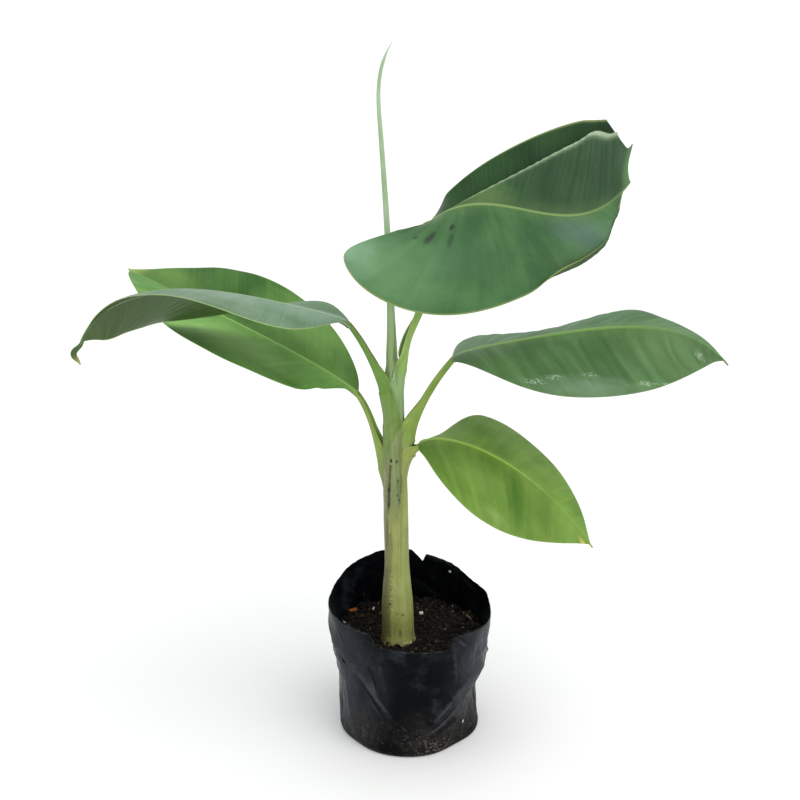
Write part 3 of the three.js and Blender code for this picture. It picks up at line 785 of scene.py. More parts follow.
blade = dict(
    rows=200, across=44, stub=(1.6, 0.3), tailWidth=14, kink=0.03, veinStart=14, waves=1.8,
    thickness=(0.8, 0.36), keel=(2.2, 0.3), keelHalf=(2.0, 0.8), ridge=(0.3, 0.1), ridgeHalf=(1.1, 0.5),
    late=(0.7, 0.97), endRise=0.6, calmBase=(0.02, 0.15), calmTip=0.12, pleatFrom=(1.5, 9),
    pleatTo=(0.75, 1.0), driftCell=9, drift=2.2, flutterCell=17,
)
plainLeaf = dict(
    stalkBow=0, sag=0, fanning=1, foldPower=(1, 1), tail=0.02, tailSwell=0, hook=0, pleat=0.12,
    pleatWidth=6.5, flutter=0.35, sweep=0.3,
)
plainHalf = dict(wave=0, neck=0, end=0, late=0, torn=None, crest=None, hem=None, lobe=None, nick=None)
leaves = dict(
    lower_right=dict(
        plainLeaf, foot=(0.3, -14, 187.7), lean=27.6, stalk=7.9, stalkHeading=-26.6, stalkBend=2.9,
        stalkEnd=74, heading=-19.3, turn=0, length=125.5, pitch=(46, -52.7), bend=0.38, roll=(-1.8, 5.9),
        seed=41,
        left=dict(plainHalf, width=47.6, fold=(3.4, 0.2), curl=-9.4, wave=-1.5, vein=(-32, 12.7), base=0.6,
                  tip=1.02, neck=0.32),
        right=dict(plainHalf, width=52.2, fold=(-14.3, -9.2), curl=-11.6, vein=(24, 18), base=0.43,
                   tip=0.92),
    ),
    left_back=dict(
        plainLeaf, foot=(-15.3, -4.9, 173.7), lean=76.8, stalk=47.3, stalkHeading=150.3, stalkBend=2.4,
        stalkEnd=51, heading=160, turn=-23.5, length=180.4, pitch=(51.7, 8.6), bend=0.22,
        roll=(-15.7, 12.2), seed=42, tail=0.004,
        left=dict(plainHalf, width=54.2, fold=(11.1, 17.8), curl=-7, wave=-2, vein=(-2.7, 13.4), base=0.84,
                  tip=1.05, neck=0.15, nick=(0.105, 0.012, 2.6)),
        right=dict(plainHalf, width=45.2, fold=(19.3, 20), curl=-2.8, wave=1, vein=(14.8, 33.5), base=0.81,
                   tip=0.97),
    ),
    right=dict(
        plainLeaf, foot=(-0.7, -12, 194.3), lean=81, stalk=56.6, stalkHeading=-8.2, stalkBend=0.67,
        stalkEnd=51.3, heading=-5.8, turn=-39, length=170, pitch=(15.6, -40), bend=4.6, roll=(-19, 23),
        seed=43, pleat=0.4, pleatWidth=11,
        left=dict(plainHalf, width=58, fold=(17, -5.8), curl=-23, wave=5.5, vein=(-11, 31), base=0.2,
                  tip=1.33),
        right=dict(plainHalf, width=44, fold=(-1.5, -79.7), curl=-37, wave=3, vein=(12, 32), base=0.53,
                   tip=0.79),
    ),
    left_front=dict(
        plainLeaf, foot=(-13.5, -14, 224.5), lean=69.7, stalk=45.2, stalkHeading=187.2, stalkBend=1.7,
        stalkEnd=52.9, heading=183, turn=2, length=183.4, pitch=(14.9, -100), bend=3.36, roll=(-1.5, 61),
        seed=44, tail=0.09, hook=38, tailSwell=1.5, pleat=0.2, pleatWidth=8,
        left=dict(plainHalf, width=45, fold=(-8.3, -26.7), curl=-8.5, wave=1, vein=(-26.4, 30), base=1.47,
                  tip=1.96),
        right=dict(plainHalf, width=49, fold=(-2.8, -46), curl=-14, wave=1.5, vein=(30, 61), base=0.26,
                   tip=0.78),
    ),
    top_right=dict(
        plainLeaf, foot=(-3.3, -13, 248.2), lean=60.1, stalk=80.9, stalkHeading=-13, stalkBend=5.6,
        stalkBow=33.3, stalkEnd=38.5, heading=-51.4, turn=-11.8, length=182.5, pitch=(38.5, 47.2), bend=3.1,
        sag=34.8, roll=(17, 39.9), seed=45, fanning=2.5, foldPower=(1.5, 4.5), tail=0.002, sweep=0,
        left=dict(
            plainHalf, width=66.6, fold=(4.5, 6.7), curl=12.5, wave=1, vein=(-4.7, 9.1), base=0.28,
            tip=0.61, end=0.81,
            torn=dict(rows=(0.78, 0.98), lost=0.65, point=52, pointRows=(0.86, 1.0)),
            crest=dict(at=(-0.18, 0.87), bow=0.7, drop=0.31, soft=0.08, valley=0.18, softBack=0.09,
                       grow=0.12, front=31.7, behind=-95, outer=52, back=-42),
        ),
        right=dict(
            plainHalf, width=61.2, fold=(11.6, -98.8), curl=22.5, wave=3.5, vein=(-45, 42), base=0.19,
            tip=1.27, late=0.9,
            hem=dict(rows=(0.32, 0.6, 0.86, 0.97), across=(0.8, 0.93), turn=185, spare=6),
            lobe=dict(rows=(0.025, 0.06), across=(0.35, 0.65), turn=9, spare=1),
        ),
    ),
)
# looks: each half's colour and its darker streaks, midrib, margin, tip, underside and how far these show;
# pleats is how far painted shade darkens the pleats' hollows, crest the colour of a painted highlight along a
# fold's crest
plainLook = dict(
    ribHalf=(1.25, 0.35), ribEnd=1.0, ribShow=0.9, veins=0.2, bands=0.35, pleats=0.0, crest=None,
    margin=0.5, tipFrom=0.95, gloss=(0.36, 0.48), shine=0.18, marks=[],
)
# marks: along and across in mm, half sizes, colour, strength, raggedness and softness
leafLooks = dict(
    lower_right=dict(
        plainLook, left=("7aa03a", "5e872c"), right=("78983f", "5d8130"), rib="a4c659", edge="8fae52",
        tip="c9b64a", under="647d42", ribHalf=(1.35, 0.4), ribEnd=0.72, tipFrom=0.965,
        # the first mark is painted shade along a pleat's hollow
        marks=[(62, -21, 10, 20, "446f20", 0.85, 0.7, 0.9), (118.5, -4.6, 5, 1.7, "dcc455", 0.85, 0.8, 0.9),
               (42, -42, 10, 5, "93ad62", 0.45, 1.0, 0.9), (32, -22, 20, 16, "88ae58", 0.35, 0.9, 0.95),
               (92, -27, 20, 5, "86993e", 0.35, 1.0, 0.95), (104, -6, 16, 12, "8aad52", 0.45, 0.8, 0.95)],
    ),
    left_back=dict(
        plainLook, left=("6fa34a", "4e8433"), right=("45722d", "2f5a1e"), rib="8fb862", edge="7fa356",
        tip="9fb65a", under="5f7d4a", ribHalf=(0.95, 0.35), tipFrom=0.9,
        # the first mark is a painted shadow cast by the leaf above; the second and fourth lighten the blade
        # as painted light where the leaves above cast shade
        marks=[(28, 35, 22, 10, "3f6e20", 0.75, 0.8, 0.95), (62, 30, 38, 24, "a0d074", 0.8, 0.7, 0.95),
               (150, -14, 34, 16, "6d9440", 0.6, 0.8, 0.95), (34, -20, 42, 26, "84b05c", 0.68, 0.8, 0.95)],
    ),
    right=dict(
        plainLook, left=("60865c", "4b6d43"), right=("5d8351", "47693c"), rib="83a85a", edge="8ba06a",
        tip="8d8f5a", under="5d7549", ribHalf=(1.7, 0.4), ribEnd=0.86, pleats=0.55, bands=0.42,
        tipFrom=0.975,
        marks=[(33.6, -34.7, 7, 2.0, "cbdcc6", 0.6, 1.6, 0.8),
               (45.7, -31.4, 6, 1.6, "cbdcc6", 0.6, 1.6, 0.8), (68, -29.8, 5, 1.4, "cbdcc6", 0.5, 1.6, 0.8),
               (97.3, -33.7, 6, 1.6, "d5e4cf", 0.6, 1.6, 0.8),
               (108.7, -33.4, 4, 1.3, "d5e4cf", 0.6, 1.6, 0.8),
               (148, -8.3, 4.5, 3.2, "dfead8", 0.6, 1.4, 0.8), (62, -38, 34, 8, "86a083", 0.5, 1.0, 0.95),
               (128, -8, 34, 26, "7b9c66", 0.45, 0.9, 0.95), (24, -24, 16, 10, "527c3a", 0.4, 0.9, 0.95)],
    ),
    left_front=dict(
        plainLook, left=("6c8e6a", "51774f"), right=("6c8e6a", "51774f"), rib="b4cba6", edge="a9bd80",
        # its underside colour is darkened as painted shade
        tip="b0ad5e", under="3c5220", ribHalf=(0.9, 0.4), ribEnd=0.6, ribShow=0.6, pleats=0.25,
        tipFrom=0.955, margin=0.85, gloss=(0.3, 0.42), shine=0.4,
        # its marks are painted sheen, pale bluish grey along the top near the midrib
        marks=[(22, 4, 26, 14, "8aab92", 0.5, 0.8, 0.95), (60, 8, 26, 10, "93ae9c", 0.4, 1.0, 0.95),
               (110, 4, 22, 7, "8fab98", 0.3, 1.0, 0.95)],
    ),
    top_right=dict(
        # the left half is painted darker as painted shade; the tip colour is a painted lightening of the
        # shaded end, and the crest colour a painted highlight
        plainLook, left=("31572d", "234523"), right=("588250", "416940"), rib="8fad66", edge="aab76c",
        tip="5f8a55", under="3c5534", margin=0.6, ribHalf=(0.5, 0.4), crest="c3dab0", tipFrom=0.95,
        gloss=(0.34, 0.46), veins=0.12, bands=0.25,
        marks=[(11.3, -18.1, 1.7, 1.3, "2b2a2c", 0.7, 1.2, 0.6),
               (18.5, -17, 2.3, 4.6, "2b282c", 0.75, 1.2, 0.6),
               (28.6, -10.8, 1.9, 1.9, "282a2a", 0.7, 1.2, 0.6),
               (29.8, -18.2, 1.7, 4.2, "2d3630", 0.6, 1.2, 0.7),
               # the fifth mark is painted bluish sheen; the sixth and seventh are painted light on the
               # turned-up base lobe
               (124, -12, 26, 12, "6d8a82", 0.5, 0.9, 0.95), (8, -40, 26, 22, "74a070", 0.5, 0.8, 0.95),
               (0, -52, 12, 18, "93b79c", 0.6, 0.8, 0.95), (52, 6, 26, 7, "6f9550", 0.5, 0.9, 0.95),
               (36, -28, 20, 12, "55795a", 0.35, 0.9, 0.95)],
    ),
)


def ribDirection(leaf, u):
    pitch = lerp(leaf["pitch"], u ** leaf["bend"]) - leaf["sag"] * np.sin(np.pi * u)
    pitch = pitch + (leaf["stalkEnd"] - leaf["pitch"][0]) * np.exp(-u / blade["kink"])
    hook = leaf["hook"] * np.sin(2 * np.pi * tailShare(leaf, u))
    return heading(pitch + hook, leaf["heading"] + leaf["turn"] * u)


def tailShare(leaf, u):  # 0 on the blade, rising to 1 along its thin tail
    return np.clip((u - 1 + leaf["tail"]) / leaf["tail"], 0, 1)


def stalkWalk(leaf, steps=80):
    s = np.linspace(0, 1, steps + 1)
    pitch = lerp((leaf["lean"], leaf["stalkEnd"]), s ** leaf["stalkBend"])
    pitch = pitch + leaf["stalkBow"] * np.sin(np.pi * s)
    compass = lerp((leaf["stalkHeading"], leaf["heading"]), s)
    return walk(np.array(leaf["foot"], float), leaf["stalk"], heading(pitch, compass)), compass


def halfWidth(leaf, half, u):
    t = np.minimum(1, u / (1 - leaf["tail"]))
    widest = half["base"] / (half["base"] + half["tip"])
    shape = lambda t: t ** half["base"] * (1 - t) ** half["tip"]
    body = shape(t) / shape(widest) * (1 - half["end"]) + half["end"] * smooth(t, 0, blade["endRise"])
    body = body * (1 - half["late"] * smooth(t, *blade["late"]))
    if half["neck"]:
        body = body * smooth(t, -0.02, half["neck"])
    width = half["width"] * body
    if half["nick"]:  # a small bite out of the margin
        at, wide, deep = half["nick"]
        width = width - deep * bell((u - at) / wide)
    if half["hem"]:
        width = width + half["hem"]["spare"] * between(u, *half["hem"]["rows"])
    if half["lobe"]:
        width = width + half["lobe"]["spare"] * between(u, 0, 0.01, *half["lobe"]["rows"])
    stub = lerp(blade["stub"], u) + blade["tailWidth"] * np.minimum(leaf["tail"], 1 - u)
    return np.maximum(stub + leaf["tailSwell"] * np.sin(np.pi * tailShare(leaf, u)), width)


def crestAt(crest, u):
    return (lerp(crest["at"], u ** crest["bow"]) - crest["drop"] * smooth(u, 0.7, 1.0))[:, None]


def halfSheet(leaf, side, u, rib, frameOf):
    along, sideways, upward = (axis[:, None] for axis in frameOf)
    half, sign = leaf[side], 1 if side == "left" else -1
    early = lambda power: 1 - (1 - u) ** power
    fold = lerp(half["fold"], early(leaf["foldPower"][sign < 0]))
    fold = fold + half["wave"] * np.cos(2 * np.pi * blade["waves"] * u)
    slant = lerp(half["vein"], early(leaf["fanning"]))
    t = np.linspace(0, 1, blade["across"] + 1)
    width = halfWidth(leaf, half, u)[:, None]
    v = (t + t * t) / 2 + 0 * width  # columns lie closer at the midrib
    crest, hem, lobe, torn = (half[key] for key in ("crest", "hem", "lobe", "torn"))
    if torn:  # the end is torn off slantwise, to a point
        v = v * (1 - torn["lost"] * smooth(u, *torn["rows"])[:, None])
        slant = slant + torn["point"] * smooth(u, *torn["pointRows"])
    rise = fold[:, None] + half["curl"] * v
    vein = slant[:, None] * smooth(v * width, 0, blade["veinStart"])
    if crest:  # the half rises to a crest, drops behind it and spreads again
        at = crestAt(crest, u)
        back = at + crest["valley"]
        over = smooth(v, at - crest["soft"], at + crest["soft"])
        again = smooth(v, back - crest["softBack"], back + crest["softBack"])
        bent = crest["front"] * (1 - over) + crest["behind"] * over * (1 - again) + crest["outer"] * again
        rise = rise + bent * smooth(u, 0, crest["grow"])[:, None]
        vein = vein + crest["back"] * over * smooth(u, 0.5, 1.0)[:, None]
    if hem:  # the margin rolls up
        rise = rise + hem["turn"] * between(u, *hem["rows"])[:, None] * smooth(v, *hem["across"])
    if lobe:  # the outer corner at the base turns up
        rise = rise + lobe["turn"] * (1 - smooth(u, *lobe["rows"]))[:, None] * smooth(v, *lobe["across"])
    rise, vein = rise[..., None], vein[..., None]
    out = cosine(vein) * (sign * cosine(rise) * sideways + sine(rise) * upward) + sine(vein) * along
    steps = (out[:, 1:] + out[:, :-1]) / 2 * (np.diff(v, axis=1) * width)[..., None]
    places = rib[:, None] + np.concatenate([0 * steps[:, :1], np.cumsum(steps, 1)], 1)
    return places, sign * v, sign * v * width


def leafFrame(leaf, u):
    along = ribDirection(leaf, u)
    level = polar(1, leaf["heading"] + leaf["turn"] * u + 90, 0)
    roll = lerp(leaf["roll"], u)[:, None]
    sideways = level * cosine(roll) + np.cross(along, level) * sine(roll)
    return along, sideways, np.cross(along, sideways)


def bladeSheet(leaf):
    u = (1 - np.cos(np.pi * np.linspace(0, 1, blade["rows"] + 1))) / 2
    fine = np.linspace(0, 1, 4 * blade["rows"] + 1)
    ribs = walk(stalkWalk(leaf)[0][-1], leaf["length"], ribDirection(leaf, fine))
    rib = table(*(np.interp(u, fine, ribs[:, k]) for k in range(3)))
    frameOf = leafFrame(leaf, u)
    halves = [halfSheet(leaf, side, u, rib, frameOf) for side in ("left", "right")]
    joined = [np.concatenate([left[:, ::-1], right[:, 1:]], 1) for left, right in zip(*halves)]
    return u, *joined


def bladeWaves(leaf, u, share, off):  # pleats between the side veins, and the margin's flutter
    run = u[:, None] * leaf["length"]
    ends = (smooth(u, *blade["calmBase"]) * smooth(1 - u, 0.0, blade["calmTip"]))[:, None]
    drift = blade["drift"] * lumps(run, 0 * run, blade["driftCell"], leaf["seed"])
    slanted = run - leaf["sweep"] * np.abs(off)
    wave = np.sin(2 * np.pi * slanted / leaf["pleatWidth"] + drift + np.sign(share))
    pleats = ends * wave * smooth(np.abs(off), *blade["pleatFrom"])
    pleats = pleats * (1 - smooth(np.abs(share), *blade["pleatTo"]))
    flutter = lumps(run + 500 * (share > 0), 0 * run, blade["flutterCell"], leaf["seed"] + 7)
    flutter = ends * share ** 2 * flutter
    return pleats, flutter


# the mask for a painted highlight along the crest
def crestHighlight(leaf, u, share):  # 1 along the crest of a folded half
    crest = leaf["left"]["crest"]
    if not crest:
        return 0 * share
    return bell((share - crestAt(crest, u) + 0.015) / 0.03) * smooth(u, 0.1, 0.3)[:, None]


def leafMaterial(name, look):
    material, shader = newMaterial("leaf_" + name, look["shine"])
    rib, tip, edge = look["rib"], look["tip"], look["edge"]
    measure = mapPlace("leafMeasure")  # metres along and across
    across = apart(measure)[1]
    share, side, _ = apart(mapPlace("leafPlace"))  # along as a share, 1 on the upper side
    margin, crest, _ = apart(mapPlace("leafMargin"))
    pleat = apart(mapPlace("leafPleat"))[0]
    off = calc("ABSOLUTE", across)
    veins, bands = effect(fibres, measure, 0.0006, 0.06), effect(fibres, measure, 0.0055, 0.08)
    patches, grain, fine = (effect(mottle, measure, size) for size in (0.03, 0.004, 0.0013))
    leftHalf = ramp(across, -0.0005, 0.0005)
    main, deep = (tint(leftHalf, *map(paint, pair)) for pair in zip(look["right"], look["left"]))
    streak = plus(times(bands, look["bands"]), times(patches, 1 - look["bands"]))
    color = tint(ramp(streak, 0.34, 0.66), main, deep)
    # painted shade in the hollows of the pleats
    color = tint(ramp(pleat, 0.45, 1.0, 0.0, look["pleats"]), color, deep)
    color = tint(ramp(grain, 0.5, 0.75, 0.0, 0.25), color, deep)
    color = coat(color, rib, ramp(veins, 0.5, 0.8, 0.0, look["veins"]))
    for along, aside, long, wide, markColor, strength, ragged, soft in look["marks"]:
        mark = spot(measure, along, aside, long, wide, ragged, soft)
        if ragged > 1.3:  # scuffs are broken up
            mark = times(mark, ramp(fine, 0.46, 0.58))
        color = coat(color, markColor, mark, strength)
    ribHalf = ramp(share, 0.0, 1.0, look["ribHalf"][0] * mm, look["ribHalf"][1] * mm)
    ribShow = ramp(share, look["ribEnd"] - 0.35, look["ribEnd"], look["ribShow"], 0.25 * look["ribShow"])
    ribMask = ramp(calc("DIVIDE", off, ribHalf), 0.6, 1.4, 1.0, 0.0)
    color = coat(color, rib, ramp(off, 0.0, 0.008, 0.16, 0.0), ribShow)  # a soft glow beside the midrib
    color = coat(color, rib, ribMask, ribShow)
    # a painted highlight along the crest of the folded half
    if look["crest"]:
        color = coat(color, look["crest"], crest, 0.9)
    color = coat(color, edge, ramp(margin, 0.978, 0.996, 0.0, look["margin"]))
    color = coat(color, tip, ramp(share, look["tipFrom"], 1.0, 0.0, 0.85))
    below = coat(paint(look["under"]), rib, ramp(veins, 0.35, 0.8, 0.0, 0.13))
    below = tint(ramp(streak, 0.4, 0.7, 0.0, 0.35), below, deep)
    below = coat(below, rib, ribMask, 0.7)
    below = coat(below, edge, ramp(margin, 0.965, 0.985, 0.0, look["margin"]))
    below = coat(below, tip, ramp(share, look["tipFrom"], 1.0, 0.0, 0.7))
    gloss = plus(ramp(patches, 0.3, 0.7, *look["gloss"]), times(veins, 0.08))
    dress(shader, tint(side, below, color), gloss, plus(veins, times(bands, 0.6)), 0.0006, 0.5)
    return material


def addBlade(name, leaf, look):
    u, places, share, off = bladeSheet(leaf)
    rise = lambda grid: unitRows(np.cross(np.gradient(grid, axis=1), np.gradient(grid, axis=0)))
    hill = lambda height, half: lerp(height, u)[:, None] * bell(off / lerp(half, u)[:, None])
    pleats, flutter = bladeWaves(leaf, u, share, off)
    places = places + rise(places) * (leaf["pleat"] * pleats + leaf["flutter"] * flutter)[..., None]
    up = rise(places)
    half = lerp(blade["thickness"], np.abs(share)) / 2
    top = places + up * (half + hill(blade["ridge"], blade["ridgeHalf"]))[..., None]
    under = places - up * (half + hill(blade["keel"], blade["keelHalf"]))[..., None]
    rows, columns = share.shape
    count = rows * columns
    index = np.arange(count).reshape(rows, columns)
    faces = gridFaces(rows, columns) + [face[::-1] for face in gridFaces(rows, columns, count)]
    border = [*index[0], *index[1:, -1], *index[-1, -2::-1], *index[-2:0:-1, 0]]
    for a, b in zip(border, border[1:] + border[:1]):
        faces.append([int(b), int(a), int(a + count), int(b + count)])
    both = lambda *pair: np.concatenate([table(*pair).reshape(-1, 2)] * 2)
    run = u[:, None] + 0 * share
    maps = dict(
        leafMeasure=both((run * leaf["length"] - leaf["sweep"] * np.abs(off)) * mm, off * mm),
        leafPlace=table(both(run, run)[:, 0], np.repeat([1.0, 0.0], count)),
        leafMargin=both(np.abs(share), crestHighlight(leaf, u, share)),
        leafPleat=both((1 - pleats) / 2, run),
    )
    points = np.concatenate([top.reshape(-1, 3), under.reshape(-1, 3)])
    addPiece("leaf_" + name, points, faces, leafMaterial(name, look), ["blade_" + name], maps)


for name, leaf in leaves.items():
    addBlade(name, leaf, leafLooks[name])


# pseudostem: wrapped sheaths, each ending in a slanting rim below its own leaf

stem = dict(
    foot=(-6.4, -10), bottom=62.2, soilLine=63, top=246, lean=1.04, core=5.65, butt=2.2, buttRows=(80, 120),
    crown=226, crownThinning=0.5, crownShift=(-0.4, 2.0), flare=1.3, flareFall=2.5, sheath=0.4, rimSoft=0.45,
    slopeStep=0.4, ragged=0.5, raggedRows=(63, 68), around=160, rows=360, rowPower=1.1, meanRadius=7.5,
)
stemWaves = [(0.07, 0.05, 0.8, 51), (0.1, 0.12, 2.4, 52), (0.15, 0.5, 7, 53)]  # depth, squeeze, cell and seed
# rims of the sheaths, outermost first: mm round from the front, rightward, and height
sheathRims = dict(
    lower_right=[(-23.6, 78), (-15, 90), (-11.5, 100), (-9, 115), (-6.8, 130), (-5.4, 142), (-4.4, 150),
                 (-3, 151), (-1.4, 148.8), (0.9, 146), (1.9, 149.7), (3, 158.5), (3.9, 169), (5, 178.5),
                 (6.5, 187), (9, 190.5), (12, 190), (16, 178), (23.6, 146)],
    left_back=[(-23.6, 164), (-17, 184), (-12, 203), (-10.2, 193), (-6.8, 184), (-4.7, 179), (-4, 165),
               (-3.7, 150), (-3.2, 110), (-2.4, 64), (8, 62), (23.6, 62)],
    right=[(-23.6, 150), (-12, 160), (-7, 176), (-4.5, 187), (-2, 193.3), (0, 196), (3.2, 200.5),
           (6.4, 204.5), (9.5, 206), (13, 204), (23.6, 175)],
    left_front=[(-23.6, 196), (-16, 216), (-9, 233), (-7, 236), (-6.1, 235), (-3.2, 231), (-0.1, 226),
                (2.3, 219.5), (4.1, 211), (6.5, 203), (9, 195), (23.6, 185)],
    top_right=[(-23.6, 220), (-12, 224), (-7, 228), (-2, 231), (0, 233), (2, 236), (6, 242), (8.5, 246),
               (14, 244), (23.6, 228)],
)
# each sheath's colour and its greener streaks, innermost last
sheathColors = dict(
    lower_right=("a0a560", "848f4a"), left_back=("7f8458", "6b7244"), right=("8a9665", "77854f"),
    left_front=("7a964c", "66843c"), top_right=("93b07a", "7f9f64"),
)
stemColors = dict(
    rimShade="3d4423", rimLight="c3cda2", lines="6c7a3e", paleLines="bcc489", crown="a9bd80", dots="3f3d20",
    soiled="7a5c3c",
)
# marks on the stem: from and to, as mm round and height, width, colour and strength
stemStrokes = [
    ((-2.9, 179), (-4.1, 164.5), 1.2, "33321f", 0.75), ((-4.1, 164.5), (-4.9, 150), 1.4, "2f2d1c", 0.8),
    ((-4.9, 150), (-6.5, 128.6), 1.5, "453f26", 0.75), ((-6.5, 128.6), (-10.4, 104), 1.5, "554d2e", 0.7),
    ((-8.5, 174), (-9.6, 140), 2.6, "9aa27c", 0.4), ((-11.4, 126), (-11.8, 96), 1.5, "b4b792", 0.6),
    ((5.0, 178), (3.4, 163), 0.8, "565c38", 0.6), ((3.4, 163), (0.9, 146.6), 1.2, "565c38", 0.4),
    ((1.6, 171), (2.3, 156), 1.0, "55603a", 0.45), ((7.8, 178), (7.2, 141), 3.4, "b4bb55", 0.5),
    ((-9.8, 110), (-10.2, 66), 6.5, "565338", 0.75), ((-5.4, 134), (-5.6, 70), 3.6, "605f3b", 0.62),
    ((-9.6, 148), (-10.8, 112), 2.6, "766f52", 0.6), ((4.6, 132), (5.0, 80), 1.8, "b3b86e", 0.3),
    ((0.6, 122), (0.2, 74), 1.3, "8c9a4f", 0.3), ((0, 232.4), (1.9, 236), 0.8, "c2d3a6", 0.7),
    ((1.9, 236), (6, 241.8), 0.8, "c2d3a6", 0.7), ((-0.8, 233), (1.0, 237), 0.7, "3f4a22", 0.7),
    ((4, 205), (-1, 198), 0.8, "6d5c34", 0.4),
]
stemSpots = [
    (-1.0, 147.5, 6.0, 7.0, "8d955a", 0.75), (-2.4, 182.4, 1.0, 1.5, "15150d", 0.95),
    (1.3, 182, 0.8, 1.2, "1d1c12", 0.9), (-4.1, 163.7, 0.9, 1.5, "1f1e14", 0.85),
    (-4.4, 153.7, 0.8, 1.9, "23221a", 0.8), (1.9, 169.4, 0.7, 0.9, "2c2f1b", 0.8),
    (1.3, 160.5, 0.7, 1.0, "2c2f1b", 0.75), (2.1, 157.7, 0.6, 1.0, "2c2f1b", 0.7),
    (-3.9, 90.4, 1.0, 1.0, "3a3a20", 0.75), (-0.5, 84.4, 0.6, 0.8, "44401f", 0.65),
    (2.4, 83.4, 0.8, 0.9, "3c3a20", 0.7), (8.6, 87.5, 0.7, 0.8, "4c4a28", 0.6),
    (-6.6, 94.3, 0.8, 0.9, "45432a", 0.6), (-3.2, 99.9, 0.7, 0.8, "45432a", 0.6),
    (-5.0, 88, 0.6, 0.8, "3f3d24", 0.6), (0.9, 71.1, 0.7, 2.6, "4b4a2a", 0.6),
    (8.8, 68.3, 0.8, 2.8, "4b442a", 0.6), (3.0, 64.7, 1.9, 0.9, "cfc39a", 0.6),
    (5.8, 64.2, 1.1, 0.9, "d6caa6", 0.6), (-10, 65.4, 3.2, 3.4, "6b4a2e", 0.75),
    (-6, 63.6, 3.0, 1.4, "6f5234", 0.6), (11, 66.5, 2.0, 3.8, "b29c70", 0.6),
]


def stemAxis(z):
    drift = np.tan(np.radians(stem["lean"])) * (z - stem["soilLine"])
    crown = smooth(z, stem["crown"], stem["top"])
    x = stem["foot"][0] - drift + stem["crownShift"][0] * crown
    return table(x, stem["foot"][1] + stem["crownShift"][1] * crown, z)


def footAngle(foot):  # where round the stem a stalk leaves it
    axis = stemAxis(foot[2])
    return np.degrees(np.arctan2(foot[1] - axis[1], foot[0] - axis[0]))


def sheathCover(name, angle, z):  # 1 where a sheath lies, 0 beyond its rim
    path = np.array(sheathRims[name], float)
    arc = np.radians((angle - 90) % 360 - 180) * stem["meanRadius"]  # from the front, rightward
    step = stem["slopeStep"]
    before, rim, after = (np.interp(arc + aside, *path.T) for aside in (-step, 0, step))
    slope = (after - before) / (2 * step)
    return smooth((rim - z) / np.hypot(1, slope), -stem["rimSoft"], stem["rimSoft"])


def stemRadius(angle, z):
    radius = stem["core"] * (1 - stem["crownThinning"] * smooth(z, stem["crown"], stem["top"])) + 0 * angle
    for name in sheathRims:
        radius = radius + stem["sheath"] * sheathCover(name, angle, z)
    radius = radius + stem["butt"] * (1 - smooth(z, *stem["buttRows"]))
    return radius + stem["flare"] * np.exp(np.minimum(0, stem["soilLine"] - z) / stem["flareFall"])


def stemRelief(angle, z):
    x = np.radians(angle) * stem["meanRadius"]
    ragged = stem["ragged"] * lumps(x, z, 1.6, 54) * (1 - smooth(z, *stem["raggedRows"]))
    return ragged + sum(depth * lumps(x, z * squeeze, cell, seed) for depth, squeeze, cell, seed in stemWaves)


def stemMaterial():
    material, shader = newMaterial("stemSheath", 0.3)
    place = mapPlace("stemPlan")
    around, up, _ = apart(place)
    lines, broad = effect(fibres, place, 0.0008, 0.04), effect(fibres, place, 0.0026, 0.06)
    patches, grain = effect(mottle, place, 0.012), effect(mottle, place, 0.002)
    outer, inner = apart(mapPlace("stemOuter")), apart(mapPlace("stemInner"))
    covers = dict(left_front=inner[1], right=inner[0], left_back=outer[1], lower_right=outer[0])
    streaks = ramp(plus(times(broad, 0.6), times(patches, 0.4)), 0.36, 0.64)
    layer = lambda name: tint(streaks, *(paint(code) for code in sheathColors[name]))
    color = layer("top_right")
    for name, cover in covers.items():
        color = tint(ramp(cover, 0.55, 0.8), color, layer(name))
        color = coat(color, stemColors["rimShade"], ramp(cover, 0.02, 0.3), ramp(cover, 0.75, 0.4), 0.32)
        color = coat(color, stemColors["rimLight"], ramp(cover, 0.6, 0.85), ramp(cover, 0.999, 0.9), 0.25)
    color = coat(color, stemColors["lines"], ramp(lines, 0.5, 0.8, 0.0, 0.3))
    color = coat(color, stemColors["paleLines"], ramp(lines, 0.5, 0.25, 0.0, 0.25))
    color = coat(color, stemColors["crown"], ramp(up, 0.233, 0.241, 0.0, 0.8))
    for start, end, width, markColor, strength in stemStrokes:
        ends = [(x * mm, z * mm, 0) for x, z in (start, end)]
        color = coat(color, markColor, effect(stroke, place, *ends, width * mm), strength)
    for x, z, wide, tall, markColor, strength in stemSpots:
        color = coat(color, markColor, spot(place, x, z, wide, tall, 1.0, 0.5), strength)
    dots = times(effect(specks, place, 0.0017, 0.3, 0.2), ramp(grain, 0.4, 0.6))
    lower = times(ramp(up, 0.108, 0.1), ramp(up, 0.076, 0.084), ramp(around, 0.001, -0.002), 0.6)
    color = coat(color, stemColors["dots"], dots, plus(lower, 0.12))
    color = coat(color, stemColors["soiled"], ramp(up, 0.0675, 0.0625), ramp(grain, 0.35, 0.6), 0.7)
    dress(shader, color, ramp(patches, 0.3, 0.7, 0.42, 0.56), plus(lines, times(grain, 0.3)), 0.0005, 0.6)
    return material


